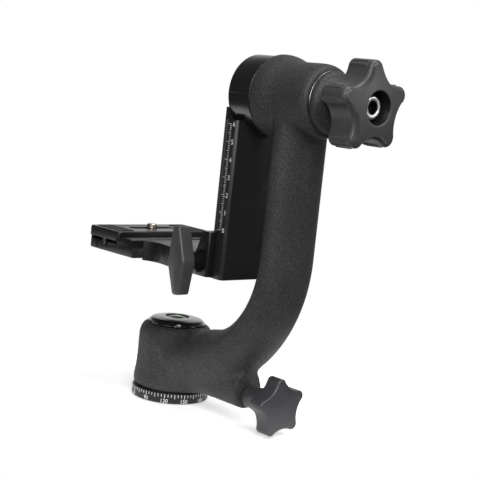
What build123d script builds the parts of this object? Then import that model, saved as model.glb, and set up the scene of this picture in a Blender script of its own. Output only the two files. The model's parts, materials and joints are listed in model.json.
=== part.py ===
from build123d import *
import os
from math import cos, radians, sin

# Gimbal head for a tripod: an alt-azimuth mount with a pan base, a J-shaped arm, a swing arm
# and a sliding quick-release platform.  Millimetres.
# Frame: the origin is the bottom centre of the pan base, at the mouth of the tripod thread.
# +Z is the pan axis.  The J-arm lies in the XZ plane and its upright stands on the +X side.
# The tilt axis runs along X at the height tilt_z.  The lens would point along Y.

os.makedirs("parts", exist_ok=True)

# ---------------------------------------------------------------- driving dimensions
# pan base
ring_r = 23.5            # graduated base ring
ring_h = 6.5
thread_r = 4.8           # 3/8 inch tripod thread, wall at the major radius
thread_depth = 13.0
bushing_r = 7.2
base_screw_circle = 10.4  # circle of the three screws that hold the base ring to the spindle
spindle_r = 8.5
spindle_flange_r = 13.0
spindle_flange_h = 1.6
spindle_top = 40.0
bearing_r = 14.0         # outside radius of both pan bearings
bearing_h = 4.5
housing_z0 = 7.4         # bottom of the rotating housing, a thin gap above the ring
housing_r = 22.2
flare_r = 23.3
housing_top = 45.2
cap_r = 17.6
cap_h = 4.2
vial_r = 8.0
running = 0.03           # radial clearance of a running fit
gap = 0.3                # free gap between pieces that must not touch

# J-arm
arm_x = 89.0             # centre of the upright
bend_z = 99.9            # where the upright meets the bend
bend_r = 71.2            # centreline radius of the bend
arm_top_half_x = 10.0
arm_top_half_y = 18.6
arm_low_half_x = 19.0
arm_low_half_y = 21.0
tilt_z = 189.5           # height of the tilt axis
boss_x0 = 68.8           # face towards the swing arm
boss_x1 = 108.6          # face towards the tilt knob
boss_flange_r = 23.6
boss_neck_r = 20.6
boss_end_r = 19.4

# pan lock
lock_z = 17.2
lock_face_x = 69.0
lock_boss_r = 11.0
lock_boss_z = 20.0
lock_screw_r = 3.8
pan_knob_x1 = 98.6
pan_knob_r = 17.1
pan_knob_t = 10.0

# tilt shaft and its knob
shaft_r = 8.0
shaft_end_r = 6.0
shaft_flange_r = 13.0
tilt_bearing_r = 13.0
tilt_bearing_w = 6.0
shaft_screw_circle = 10.4 # circle of the four screws that hold the shaft to the swing arm
collar_r = 16.9
tilt_knob_r = 24.8
tilt_knob_x0 = 124.0
tilt_knob_x1 = 141.2
tilt_knob_dome = 3.3
recess_r = 8.9

# swing arm
plate_x0 = 49.8
plate_x1 = 59.9
plate_half_y = 21.5
head_r = 22.4            # round head that carries the shaft, a little prouder than the plate
shoulder_z = 174.2       # top of the plate's thick part, below the head
plate_z0 = 83.5
rail_top = 181.0
rail_step = 1.3
groove_x = 51.4          # bottom of the V groove in each side of the plate
groove_depth = 1.2
stop_slot_r = 2.6

# platform bracket
clamp_x0 = 42.0
clamp_z1 = 110.0
platform_z0 = 84.2
neck_top = 96.0
neck_half_y = 26.0
seat_x0 = -41.0
seat_x1 = -4.0
seat_half_y = 35.5
seat_top = 91.0
jaw_y0 = -26.2           # outer face of the clamp jaw
jaw_y1 = -21.9
wing_x = 43.7            # axis of the wing knob
wing_z = 92.0
slide_travel = 60.0
jaw_pin_x = 46.9         # guide pins of the clamp jaw, above and below the wing screw
jaw_pin_z = (104.5, 86.9)

# quick-release clamp and camera plate
cam_x = -33.2            # centre of the camera plate
cam_half_x = 14.8
cam_half_y = 37.0
cam_z0 = 91.2
cam_flange_z = 93.2
cam_top = 99.0
camera_screw_r = 3.175   # 1/4 inch thread; the screw's neck below it is thinner
dove_half = 12.4         # half width of the dovetail's foot
dove_neck = 10.4
qr_axis_z = 88.2
qr_pin_y = 20.0          # guide pins of the quick-release jaw, either side of its screw
qr_jaw_x0 = -47.4


def axis_x(x, y, z):
    """Plane whose normal is +X, with its x direction along +Y and its y direction along +Z."""
    return Plane(origin=(x, y, z), x_dir=(0, 1, 0), z_dir=(1, 0, 0))


def axis_y(x, y, z):
    """Plane whose normal is -Y, with its x direction along +X and its y direction along +Z."""
    return Plane(origin=(x, y, z), x_dir=(1, 0, 0), z_dir=(0, -1, 0))


def star_points(radius, waist, half_angle, turn):
    """Tip arc and hollow arc points of a five-lobed knob, lobe by lobe."""
    arcs = []
    for lobe in range(5):
        middle = turn + 72 * lobe
        tip = [(radius * cos(radians(a)), radius * sin(radians(a)))
               for a in (middle - half_angle, middle, middle + half_angle)]
        hollow_a = middle + 36
        hollow = (waist * cos(radians(hollow_a)), waist * sin(radians(hollow_a)))
        after = middle + 72 - half_angle
        next_start = (radius * cos(radians(after)), radius * sin(radians(after)))
        arcs.append((tip[0], tip[1], tip[2]))
        arcs.append((tip[2], hollow, next_start))
    return arcs


# ================================================================ pan base (held still)
with BuildPart() as base_plate:
    with BuildSketch(Plane.XY):
        Circle(ring_r)
        Circle(bushing_r, mode=Mode.SUBTRACT)
    extrude(amount=ring_h)
    chamfer(base_plate.edges().filter_by(GeomType.CIRCLE).sort_by(SortBy.RADIUS)[-2:], 0.6)
    with BuildSketch(Plane.XY):
        Circle(ring_r - 3)
        Circle(bushing_r + 2, mode=Mode.SUBTRACT)
    extrude(amount=0.5, mode=Mode.SUBTRACT)
    with Locations(Plane.XY.offset(0.5)):
        with PolarLocations(base_screw_circle, 3, start_angle=30):
            CounterSinkHole(radius=1.6, counter_sink_radius=2.6, depth=ring_h)
base_plate.part.label = "base_plate"
export_step(base_plate.part, "parts/base_plate.step")

with BuildPart() as thread_bushing:
    with BuildSketch(Plane.XY):
        Circle(bushing_r)
        Circle(thread_r, mode=Mode.SUBTRACT)
    extrude(amount=thread_depth)
thread_bushing.part.label = "thread_bushing"
export_step(thread_bushing.part, "parts/thread_bushing.step")

with BuildPart() as pan_spindle:
    with BuildSketch(Plane.XZ):
        with BuildLine():
            Polyline(
                (bushing_r + 0.1, ring_h),
                (spindle_flange_r, ring_h),
                (spindle_flange_r, ring_h + spindle_flange_h),
                (spindle_r + 1.5, ring_h + spindle_flange_h),
                (spindle_r + 1.5, ring_h + spindle_flange_h + gap),
                (spindle_r, ring_h + spindle_flange_h + gap),
                (spindle_r, spindle_top - 4.6),
                (spindle_r - 1, spindle_top - 4.6),
                (spindle_r - 1, spindle_top),
                (5.0, spindle_top),
                (5.0, thread_depth + 0.4),
                (bushing_r + 0.1, thread_depth + 0.4),
                close=True,
            )
        make_face()
    revolve(axis=Axis.Z)
    with Locations(Plane.XY.offset(ring_h + spindle_flange_h)):
        with PolarLocations(base_screw_circle, 3, start_angle=30):
            Hole(radius=1.5, depth=spindle_flange_h)
pan_spindle.part.label = "pan_spindle"
export_step(pan_spindle.part, "parts/pan_spindle.step")

with BuildPart() as spindle_screws:
    with BuildSketch(Plane.XY.offset(0.6)):
        with PolarLocations(base_screw_circle, 3, start_angle=30):
            Circle(1.5)
    extrude(amount=ring_h + spindle_flange_h - 0.8)
    with BuildSketch(Plane.XY.offset(0.6)):
        with PolarLocations(base_screw_circle, 3, start_angle=30):
            Circle(2.45)
    extrude(amount=1.0, taper=44)
    with BuildSketch(Plane.XY.offset(0.6)):
        with PolarLocations(base_screw_circle, 3, start_angle=30):
            RegularPolygon(1.1, 6)
    extrude(amount=0.9, mode=Mode.SUBTRACT)
spindle_screws.part.label = "spindle_screws"
export_step(spindle_screws.part, "parts/spindle_screws.step")

with BuildPart() as thrust_washer:
    with BuildSketch(Plane.XY.offset(ring_h)):
        Circle(ring_r - 4.5)
        Circle(bearing_r + 0.8, mode=Mode.SUBTRACT)
    extrude(amount=housing_z0 - ring_h - 0.1)
thrust_washer.part.label = "thrust_washer"
export_step(thrust_washer.part, "parts/thrust_washer.step")

bearing_low_z = ring_h + spindle_flange_h + gap
bearing_high_z = spindle_top - 4.6 - bearing_h
with BuildPart() as pan_bearing_lower:
    with BuildSketch(Plane.XZ):
        with BuildLine():
            Polyline(
                (spindle_r, bearing_low_z),
                (spindle_r + 1.6, bearing_low_z),
                (spindle_r + 1.6, bearing_low_z + 0.4),
                (bearing_r - 1.6, bearing_low_z + 0.4),
                (bearing_r - 1.6, bearing_low_z),
                (bearing_r, bearing_low_z),
                (bearing_r, bearing_low_z + bearing_h),
                (bearing_r - 1.6, bearing_low_z + bearing_h),
                (bearing_r - 1.6, bearing_low_z + bearing_h - 0.4),
                (spindle_r + 1.6, bearing_low_z + bearing_h - 0.4),
                (spindle_r + 1.6, bearing_low_z + bearing_h),
                (spindle_r, bearing_low_z + bearing_h),
                close=True,
            )
        make_face()
    revolve(axis=Axis.Z)
pan_bearing_lower.part.label = "pan_bearing_lower"
export_step(pan_bearing_lower.part, "parts/pan_bearing_lower.step")

with BuildPart() as pan_bearing_upper:
    add(pan_bearing_lower.part.moved(Location((0, 0, bearing_high_z - bearing_low_z))))
pan_bearing_upper.part.label = "pan_bearing_upper"
export_step(pan_bearing_upper.part, "parts/pan_bearing_upper.step")

with BuildPart() as spindle_nut:
    with BuildSketch(Plane.XY.offset(spindle_top - 4.6)):
        Circle(11.5)
        Circle(spindle_r - 1, mode=Mode.SUBTRACT)
        with PolarLocations(11.5, 4):
            Rectangle(3, 3, mode=Mode.SUBTRACT)
    extrude(amount=4.0)
spindle_nut.part.label = "spindle_nut"
export_step(spindle_nut.part, "parts/spindle_nut.step")

# ================================================================ J-arm
bend_angle = 72          # the bend turns this far before the arm runs straight into the housing
arm_stations = []
for station_z in (tilt_z - 6, 160, 130, bend_z):
    arm_stations.append((arm_x, station_z, 0))
for step in range(1, 7):
    turn = bend_angle * step / 6
    station_x = arm_x - bend_r * (1 - cos(radians(turn)))
    arm_stations.append((station_x, bend_z - bend_r * sin(radians(turn)), turn))
last_x, last_z, last_turn = arm_stations[-1]
arm_stations.append((last_x - 19, last_z - 5, last_turn + 4))

with BuildPart() as j_arm:
    for station_x, station_z, turn in arm_stations:
        share = min(1, (arm_x - station_x) / 60)
        half_thick = arm_top_half_x + (arm_low_half_x - arm_top_half_x) * share
        half_wide = arm_top_half_y + (arm_low_half_y - arm_top_half_y) * share
        along = (-sin(radians(turn)), 0, -cos(radians(turn)))
        if station_x < 30:
            half_thick = arm_low_half_x - 2.5
        with BuildSketch(Plane(origin=(station_x, 0, station_z), x_dir=(0, 1, 0), z_dir=along)):
            Ellipse(half_wide, half_thick)
    loft()
    # housing of the pan bearings
    with BuildSketch(Plane.XZ):
        with BuildLine():
            Polyline(
                (0, housing_z0),
                (flare_r, housing_z0),
                (flare_r - 0.1, housing_z0 + 2.5),
                (housing_r + 0.3, housing_z0 + 10),
                (housing_r, housing_z0 + 18),
                (housing_r, 37.0),
            )
            RadiusArc((housing_r, 37.0), (cap_r + 0.4, housing_top), -9.5)
            Polyline((cap_r + 0.4, housing_top), (0, housing_top), (0, housing_z0))
        make_face()
    revolve(axis=Axis.Z)
    # boss for the pan lock screw
    with BuildSketch(axis_x(6, 0, lock_boss_z)):
        Circle(lock_boss_r)
    extrude(amount=lock_face_x - 6)
    # tilt boss
    with BuildSketch(Plane.XZ):
        with BuildLine():
            Polyline(
                (boss_x0, tilt_z),
                (boss_x0, tilt_z + boss_flange_r - 1.2),
                (boss_x0 + 1.2, tilt_z + boss_flange_r),
                (boss_x0 + 5.5, tilt_z + boss_flange_r),
            )
            Spline(
                (boss_x0 + 5.5, tilt_z + boss_flange_r),
                (boss_x0 + 10.5, tilt_z + (boss_flange_r + boss_neck_r) / 2 + 0.2),
                (boss_x0 + 16, tilt_z + boss_neck_r),
                tangents=[(1, 0), (1, 0)],
            )
            Line((boss_x0 + 16, tilt_z + boss_neck_r), (102, tilt_z + boss_neck_r))
            Spline(
                (102, tilt_z + boss_neck_r),
                (boss_x1, tilt_z + boss_end_r - 0.6),
                tangents=[(1, 0), (0.75, -0.66)],
            )
            Polyline(
                (boss_x1, tilt_z + boss_end_r - 0.6),
                (boss_x1, tilt_z),
                (boss_x0, tilt_z),
            )
        make_face()
    revolve(axis=Axis((0, 0, tilt_z), (1, 0, 0)))
    # pan bore: bearing seats at both ends, a waist between them, a cavity under the level cap
    with BuildSketch(Plane.XZ):
        with BuildLine():
            Polyline(
                (0, housing_z0 - 1),
                (bearing_r + running, housing_z0 - 1),
                (bearing_r + running, bearing_low_z + bearing_h + 0.1),
                (spindle_r + 2, bearing_low_z + bearing_h + 0.1),
                (spindle_r + 2, bearing_high_z - 0.1),
                (bearing_r + running, bearing_high_z - 0.1),
                (bearing_r + running, bearing_high_z + bearing_h + 0.6),
                (bearing_r + 1, bearing_high_z + bearing_h + 0.6),
                (bearing_r + 1, housing_top + 8),
                (0, housing_top + 8),
                close=True,
            )
        make_face()
    revolve(axis=Axis.Z, mode=Mode.SUBTRACT)
    # trim what the arm would leave above the seat of the level cap
    with BuildSketch(Plane.XY.offset(housing_top)):
        Circle(cap_r + 0.4)
    extrude(amount=12, mode=Mode.SUBTRACT)
    # lock screw bore and its clean end face
    with BuildSketch(axis_x(8, 0, lock_z)):
        Circle(lock_screw_r + running)
    extrude(amount=lock_face_x, mode=Mode.SUBTRACT)
    # tilt bores
    with BuildSketch(axis_x(boss_x0 - 1, 0, tilt_z)):
        Circle(shaft_r + 2)
    extrude(amount=boss_x1 - boss_x0 + 2, mode=Mode.SUBTRACT)
    with BuildSketch(axis_x(boss_x0 - 1, 0, tilt_z)):
        Circle(tilt_bearing_r)
    extrude(amount=tilt_bearing_w + 2.4, mode=Mode.SUBTRACT)
    with BuildSketch(axis_x(boss_x1 - tilt_bearing_w - 1.4, 0, tilt_z)):
        Circle(tilt_bearing_r)
    extrude(amount=tilt_bearing_w + 2.4, mode=Mode.SUBTRACT)
j_arm.part.label = "j_arm"
export_step(j_arm.part, "parts/j_arm.step")

# ---------------------------------------------------------------- level on the housing
with BuildPart() as level_cap:
    with BuildSketch(Plane.XZ):
        with BuildLine():
            Polyline(
                (vial_r, housing_top + 1.4),
                (vial_r, housing_top + cap_h),
                (cap_r - 3.4, housing_top + cap_h),
                (cap_r - 1.7, housing_top + cap_h - 0.5),
                (cap_r - 0.5, housing_top + cap_h - 1.4),
                (cap_r, housing_top + 1.9),
                (cap_r, housing_top + 0.5),
                (cap_r - 0.5, housing_top),
                (bearing_r + 0.9, housing_top),
                (bearing_r + 0.9, housing_top - 3.2),
                (bearing_r - 0.8, housing_top - 3.2),
                (bearing_r - 0.8, housing_top - 0.6),
                (0, housing_top - 0.6),
                (0, housing_top + 1.4),
                close=True,
            )
        make_face()
    revolve(axis=Axis.Z)
level_cap.part.label = "level_cap"
export_step(level_cap.part, "parts/level_cap.step")

with BuildPart() as level_ring:
    with BuildSketch(Plane.XY.offset(housing_top + 1.4)):
        Circle(vial_r)
        Circle(vial_r - 1.3, mode=Mode.SUBTRACT)
    extrude(amount=cap_h - 1.3)
    chamfer(level_ring.edges().filter_by(GeomType.CIRCLE).sort_by(Axis.Z)[-2:], 0.35)
level_ring.part.label = "level_ring"
export_step(level_ring.part, "parts/level_ring.step")

with BuildPart() as level_vial:
    with BuildSketch(Plane.XZ):
        with BuildLine():
            Polyline(
                (0, housing_top + 1.4),
                (vial_r - 1.3, housing_top + 1.4),
                (vial_r - 1.3, housing_top + cap_h - 0.5),
                (vial_r - 2.2, housing_top + cap_h - 0.2),
                (vial_r - 4.4, housing_top + cap_h),
                (0, housing_top + cap_h),
                close=True,
            )
        make_face()
    revolve(axis=Axis.Z)
    with BuildSketch(Plane.XY.offset(housing_top + 1.4)):
        Circle(vial_r - 2.1)
    extrude(amount=2.0, mode=Mode.SUBTRACT)
level_vial.part.label = "level_vial"
export_step(level_vial.part, "parts/level_vial.step")

with BuildPart() as level_liquid:
    with BuildSketch(Plane.XY.offset(housing_top + 1.4)):
        Circle(vial_r - 2.1)
    extrude(amount=2.0)
    with BuildSketch(Plane.XY.offset(housing_top + 2.6)):
        Circle(1.9)
    extrude(amount=1, mode=Mode.SUBTRACT)
level_liquid.part.label = "level_liquid"
export_step(level_liquid.part, "parts/level_liquid.step")

# ---------------------------------------------------------------- pan lock
shoe_end_x = 15.0
with BuildPart() as pan_brake_shoe:
    with BuildSketch(axis_x(spindle_r + 0.06, 0, lock_z)):
        Circle(lock_screw_r - 0.05)
    extrude(amount=shoe_end_x - spindle_r - 0.06)
    with BuildSketch(Plane.XY.offset(lock_z - 5)):
        Circle(spindle_r + 0.06)
    extrude(amount=10, mode=Mode.SUBTRACT)
pan_brake_shoe.part.label = "pan_brake_shoe"
export_step(pan_brake_shoe.part, "parts/pan_brake_shoe.step")

pan_knob_x0 = pan_knob_x1 - pan_knob_t
with BuildPart() as pan_lock_screw:
    with BuildSketch(axis_x(shoe_end_x + 0.05, 0, lock_z)):
        Circle(lock_screw_r)
    extrude(amount=pan_knob_x0 + 4 - shoe_end_x)
    chamfer(pan_lock_screw.edges().filter_by(GeomType.CIRCLE), 0.5)
pan_lock_screw.part.label = "pan_lock_screw"
export_step(pan_lock_screw.part, "parts/pan_lock_screw.step")

with BuildPart() as pan_knob:
    with BuildSketch(axis_x(pan_knob_x0, 0, lock_z)):
        with BuildLine():
            for arc in star_points(pan_knob_r, 11.4, 17, 94.7):
                ThreePointArc(*arc)
        knob_face = make_face()
        fillet(knob_face.vertices(), 2.6)
    extrude(amount=pan_knob_t)
    chamfer(pan_knob.faces().sort_by(Axis.X)[-1].edges(), 0.7)
    chamfer(pan_knob.faces().sort_by(Axis.X)[0].edges(), 0.5)
    with BuildSketch(Plane.XZ):
        with BuildLine():
            Polyline(
                (lock_face_x + 0.9, lock_z),
                (lock_face_x + 0.9, lock_z + 5.4),
                (lock_face_x + 1.5, lock_z + 6.0),
                (lock_face_x + 6.0, lock_z + 6.2),
                (lock_face_x + 12.5, lock_z + 7.8),
                (pan_knob_x0 + 0.5, lock_z + 10.2),
                (pan_knob_x0 + 0.5, lock_z),
                close=True,
            )
        make_face()
    revolve(axis=Axis((0, 0, lock_z), (1, 0, 0)))
    with BuildSketch(axis_x(lock_face_x, 0, lock_z)):
        Circle(lock_screw_r + 1.6)
    extrude(amount=pan_knob_x0 + 5 - lock_face_x, mode=Mode.SUBTRACT)
pan_knob.part.label = "pan_knob"
export_step(pan_knob.part, "parts/pan_knob.step")

with BuildPart() as pan_knob_insert:
    with BuildSketch(axis_x(lock_face_x + 0.9, 0, lock_z)):
        Circle(lock_screw_r + 1.6)
        Circle(lock_screw_r, mode=Mode.SUBTRACT)
    extrude(amount=pan_knob_x0 + 4 - lock_face_x - 0.9)
pan_knob_insert.part.label = "pan_knob_insert"
export_step(pan_knob_insert.part, "parts/pan_knob_insert.step")

# ================================================================ tilt axis
bearing_inner_x = boss_x0 + 1.3
bearing_outer_x = boss_x1 - tilt_bearing_w - 1.3
with BuildPart() as tilt_bearing_inner:
    with BuildSketch(Plane.XZ):
        with BuildLine():
            Polyline(
                (bearing_inner_x, tilt_z + shaft_r + running),
                (bearing_inner_x, tilt_z + shaft_r + 1.5),
                (bearing_inner_x + 0.4, tilt_z + shaft_r + 1.5),
                (bearing_inner_x + 0.4, tilt_z + tilt_bearing_r - 1.5),
                (bearing_inner_x, tilt_z + tilt_bearing_r - 1.5),
                (bearing_inner_x, tilt_z + tilt_bearing_r),
                (bearing_inner_x + tilt_bearing_w, tilt_z + tilt_bearing_r),
                (bearing_inner_x + tilt_bearing_w, tilt_z + tilt_bearing_r - 1.5),
                (bearing_inner_x + tilt_bearing_w - 0.4, tilt_z + tilt_bearing_r - 1.5),
                (bearing_inner_x + tilt_bearing_w - 0.4, tilt_z + shaft_r + 1.5),
                (bearing_inner_x + tilt_bearing_w, tilt_z + shaft_r + 1.5),
                (bearing_inner_x + tilt_bearing_w, tilt_z + shaft_r + running),
                close=True,
            )
        make_face()
    revolve(axis=Axis((0, 0, tilt_z), (1, 0, 0)))
tilt_bearing_inner.part.label = "tilt_bearing_inner"
export_step(tilt_bearing_inner.part, "parts/tilt_bearing_inner.step")

with BuildPart() as tilt_bearing_outer:
    add(tilt_bearing_inner.part.moved(Location((bearing_outer_x - bearing_inner_x, 0, 0))))
tilt_bearing_outer.part.label = "tilt_bearing_outer"
export_step(tilt_bearing_outer.part, "parts/tilt_bearing_outer.step")

hub_x1 = boss_x0 - 0.6
flange_x0 = plate_x0 + rail_step + 0.3
flange_x1 = flange_x0 + 3.2
shaft_step_x = boss_x1 + 0.4
shaft_end_x = tilt_knob_x1 - 10.9
bolt_bore_x = shaft_end_x - 17
with BuildPart() as tilt_shaft:
    with BuildSketch(Plane.XZ):
        with BuildLine():
            Polyline(
                (flange_x0, tilt_z),
                (flange_x0, tilt_z + shaft_flange_r - 0.4),
                (flange_x0 + 0.4, tilt_z + shaft_flange_r),
                (flange_x1, tilt_z + shaft_flange_r),
                (flange_x1, tilt_z + shaft_r),
                (shaft_step_x, tilt_z + shaft_r),
                (shaft_step_x, tilt_z + shaft_end_r),
                (shaft_end_x, tilt_z + shaft_end_r),
                (shaft_end_x, tilt_z + 4),
                (bolt_bore_x, tilt_z + 4),
                (bolt_bore_x, tilt_z),
                close=True,
            )
        make_face()
    revolve(axis=Axis((0, 0, tilt_z), (1, 0, 0)))
    with BuildSketch(axis_x(flange_x0, 0, tilt_z)):
        with PolarLocations(shaft_screw_circle, 4, start_angle=45):
            Circle(1.7)
    extrude(amount=flange_x1 - flange_x0, mode=Mode.SUBTRACT)
    with BuildSketch(axis_x(flange_x0, 0, tilt_z)):
        with PolarLocations(shaft_screw_circle, 4, start_angle=45):
            Circle(2.55)
    extrude(amount=1.3, taper=35, mode=Mode.SUBTRACT)
tilt_shaft.part.label = "tilt_shaft"
export_step(tilt_shaft.part, "parts/tilt_shaft.step")

with BuildPart() as shaft_screws:
    with BuildSketch(axis_x(flange_x0 + 0.1, 0, tilt_z)):
        with PolarLocations(shaft_screw_circle, 4, start_angle=45):
            Circle(1.7)
    extrude(amount=13)
    with BuildSketch(axis_x(flange_x0 + 0.1, 0, tilt_z)):
        with PolarLocations(shaft_screw_circle, 4, start_angle=45):
            Circle(2.45)
    extrude(amount=1.1, taper=35)
    with BuildSketch(axis_x(flange_x0 + 0.1, 0, tilt_z)):
        with PolarLocations(shaft_screw_circle, 4, start_angle=45):
            RegularPolygon(1.3, 6)
    extrude(amount=1.1, mode=Mode.SUBTRACT)
shaft_screws.part.label = "shaft_screws"
export_step(shaft_screws.part, "parts/shaft_screws.step")

with BuildPart() as swing_hub:
    with BuildSketch(axis_x(plate_x1, 0, tilt_z)):
        Circle(head_r)
        Circle(shaft_r, mode=Mode.SUBTRACT)
        with PolarLocations(shaft_screw_circle, 4, start_angle=45):
            Circle(1.75, mode=Mode.SUBTRACT)
    extrude(amount=hub_x1 - plate_x1)
    outer_rim = swing_hub.faces().sort_by(Axis.X)[-1].edges().sort_by(Edge.length)[-1]
    chamfer(outer_rim, 0.5)
swing_hub.part.label = "swing_hub"
export_step(swing_hub.part, "parts/swing_hub.step")

with BuildPart() as tilt_friction_disc:
    with BuildSketch(axis_x(hub_x1, 0, tilt_z)):
        Circle(plate_half_y - 3)
        Circle(shaft_r + 0.6, mode=Mode.SUBTRACT)
    extrude(amount=0.5)
tilt_friction_disc.part.label = "tilt_friction_disc"
export_step(tilt_friction_disc.part, "parts/tilt_friction_disc.step")

washer_x0 = boss_x1 + 0.15
washer_x1 = washer_x0 + 1.0
collar_x1 = washer_x1 + 7.4
with BuildPart() as tilt_washer:
    with BuildSketch(axis_x(washer_x0, 0, tilt_z)):
        Circle(collar_r + 0.3)
        Circle(shaft_r + running, mode=Mode.SUBTRACT)
    extrude(amount=washer_x1 - washer_x0)
    chamfer(tilt_washer.edges().filter_by(GeomType.CIRCLE).sort_by(SortBy.RADIUS)[-1:], 0.2)
tilt_washer.part.label = "tilt_washer"
export_step(tilt_washer.part, "parts/tilt_washer.step")

with BuildPart() as tilt_collar:
    with BuildSketch(Plane.XZ):
        with BuildLine():
            Line((washer_x1, tilt_z + shaft_end_r + running), (washer_x1, tilt_z + collar_r))
            Line((washer_x1, tilt_z + collar_r), (washer_x1 + 1.6, tilt_z + collar_r))
            Spline(
                (washer_x1 + 1.6, tilt_z + collar_r),
                (washer_x1 + 4.6, tilt_z + collar_r - 2.4),
                (collar_x1, tilt_z + 10.4),
                tangents=[(1, -0.1), (0.25, -1)],
            )
            Line((collar_x1, tilt_z + 10.4), (collar_x1, tilt_z + shaft_end_r + running))
            Line((collar_x1, tilt_z + shaft_end_r + running), (washer_x1, tilt_z + shaft_end_r + running))
        make_face()
    revolve(axis=Axis((0, 0, tilt_z), (1, 0, 0)))
tilt_collar.part.label = "tilt_collar"
export_step(tilt_collar.part, "parts/tilt_collar.step")

recess_floor_x = shaft_end_x - 1.1
insert_r = 7.9
with BuildPart() as tilt_knob:
    with BuildSketch(axis_x(tilt_knob_x0, 0, tilt_z)):
        with BuildLine():
            for arc in star_points(tilt_knob_r, 17.2, 15, 93.2):
                ThreePointArc(*arc)
        star_face = make_face()
        fillet(star_face.vertices(), 3.6)
    extrude(amount=tilt_knob_x1 + tilt_knob_dome - tilt_knob_x0)
    # domed front: a shallow curve from the lobe tips up to the rim of the recess
    with BuildSketch(Plane.XZ):
        with BuildLine():
            Polyline(
                (tilt_knob_x0, tilt_z),
                (tilt_knob_x0, tilt_z + tilt_knob_r - 0.8),
                (tilt_knob_x0 + 0.8, tilt_z + tilt_knob_r + 0.2),
                (tilt_knob_x1 - 1.0, tilt_z + tilt_knob_r + 0.2),
                (tilt_knob_x1, tilt_z + tilt_knob_r - 0.8),
            )
            Spline(
                (tilt_knob_x1, tilt_z + tilt_knob_r - 0.8),
                (tilt_knob_x1 + tilt_knob_dome, tilt_z),
                tangents=[(0.28, -1), (0, -1)],
            )
            Line((tilt_knob_x1 + tilt_knob_dome, tilt_z), (tilt_knob_x0, tilt_z))
        make_face()
    revolve(axis=Axis((0, 0, tilt_z), (1, 0, 0)), mode=Mode.INTERSECT)
    with BuildSketch(axis_x(collar_x1 + 0.1, 0, tilt_z)):
        Circle(10.6)
    extrude(amount=tilt_knob_x0 + 1 - collar_x1)
    with BuildSketch(axis_x(collar_x1, 0, tilt_z)):
        Circle(insert_r)
    extrude(amount=tilt_knob_x1 - collar_x1, mode=Mode.SUBTRACT)
    with BuildSketch(axis_x(recess_floor_x, 0, tilt_z)):
        Circle(recess_r)
    extrude(amount=30, mode=Mode.SUBTRACT)
tilt_knob.part.label = "tilt_knob"
export_step(tilt_knob.part, "parts/tilt_knob.step")

with BuildPart() as tilt_knob_insert:
    with BuildSketch(axis_x(collar_x1 + 0.1, 0, tilt_z)):
        Circle(insert_r)
        Circle(shaft_end_r + running, mode=Mode.SUBTRACT)
    extrude(amount=recess_floor_x - collar_x1 - 0.1)
tilt_knob_insert.part.label = "tilt_knob_insert"
export_step(tilt_knob_insert.part, "parts/tilt_knob_insert.step")

bolt_head_r = 6.5
with BuildPart() as tilt_bolt_washer:
    with BuildSketch(axis_x(shaft_end_x, 0, tilt_z)):
        Circle(recess_r - 0.6)
        Circle(4.0, mode=Mode.SUBTRACT)
    extrude(amount=1.2)
tilt_bolt_washer.part.label = "tilt_bolt_washer"
export_step(tilt_bolt_washer.part, "parts/tilt_bolt_washer.step")

with BuildPart() as tilt_bolt:
    with BuildSketch(axis_x(bolt_bore_x + 1, 0, tilt_z)):
        Circle(4.0)
    extrude(amount=shaft_end_x + 1.2 - bolt_bore_x - 1)
    with BuildSketch(axis_x(shaft_end_x + 1.2, 0, tilt_z)):
        Circle(bolt_head_r)
    extrude(amount=8.0)
    front_rim = tilt_bolt.edges().filter_by(GeomType.CIRCLE).sort_by(Axis.X)[-1]
    fillet(front_rim, 0.8)
    with BuildSketch(axis_x(shaft_end_x + 5.2, 0, tilt_z)):
        RegularPolygon(3.46, 6)
    extrude(amount=5, mode=Mode.SUBTRACT)
tilt_bolt.part.label = "tilt_bolt"
export_step(tilt_bolt.part, "parts/tilt_bolt.step")

# ================================================================ swing arm
stop_pin_z = 97.0
with BuildPart() as swing_arm:
    with BuildSketch(axis_x(plate_x0 + rail_step, 0, 0)):
        with Locations((0, (plate_z0 + shoulder_z) / 2)):
            Rectangle(2 * plate_half_y, shoulder_z - plate_z0)
        with Locations((0, tilt_z)):
            Circle(head_r)
    extrude(amount=plate_x1 - plate_x0 - rail_step)
    long_edges = swing_arm.edges().filter_by(Axis.Z).filter_by_position(Axis.X, plate_x1 - 0.1, plate_x1 + 0.1)
    chamfer(long_edges, 1.4)
    with BuildSketch(axis_x(plate_x0, 0, 0)):
        with Locations((0, (plate_z0 + rail_top) / 2)):
            Rectangle(2 * plate_half_y, rail_top - plate_z0)
    extrude(amount=rail_step)
    # V grooves for the clamp jaws
    for side in (1, -1):
        with BuildSketch(Plane.XY.offset(plate_z0)):
            with BuildLine():
                Polyline(
                    (groove_x - groove_depth - 0.2, side * (plate_half_y + 0.2)),
                    (groove_x, side * (plate_half_y - groove_depth)),
                    (groove_x + groove_depth + 0.2, side * (plate_half_y + 0.2)),
                    close=True,
                )
            make_face()
        extrude(amount=shoulder_z - plate_z0, mode=Mode.SUBTRACT)
    # seat of the shaft flange, shaft bore and screw holes
    with BuildSketch(axis_x(plate_x0 - 1, 0, tilt_z)):
        Circle(shaft_flange_r + 0.05)
    extrude(amount=flange_x1 - plate_x0 + 1, mode=Mode.SUBTRACT)
    with BuildSketch(axis_x(plate_x0, 0, tilt_z)):
        Circle(shaft_r)
        with PolarLocations(shaft_screw_circle, 4, start_angle=45):
            Circle(1.75)
    extrude(amount=plate_x1 - plate_x0, mode=Mode.SUBTRACT)
    # slot that limits the travel of the platform
    with BuildSketch(axis_x(plate_x0, 0, stop_pin_z + slide_travel / 2)):
        SlotCenterToCenter(slide_travel + 0.4, 2 * stop_slot_r, rotation=90)
    extrude(amount=2.2, mode=Mode.SUBTRACT)
swing_arm.part.label = "swing_arm"
export_step(swing_arm.part, "parts/swing_arm.step")

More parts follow.
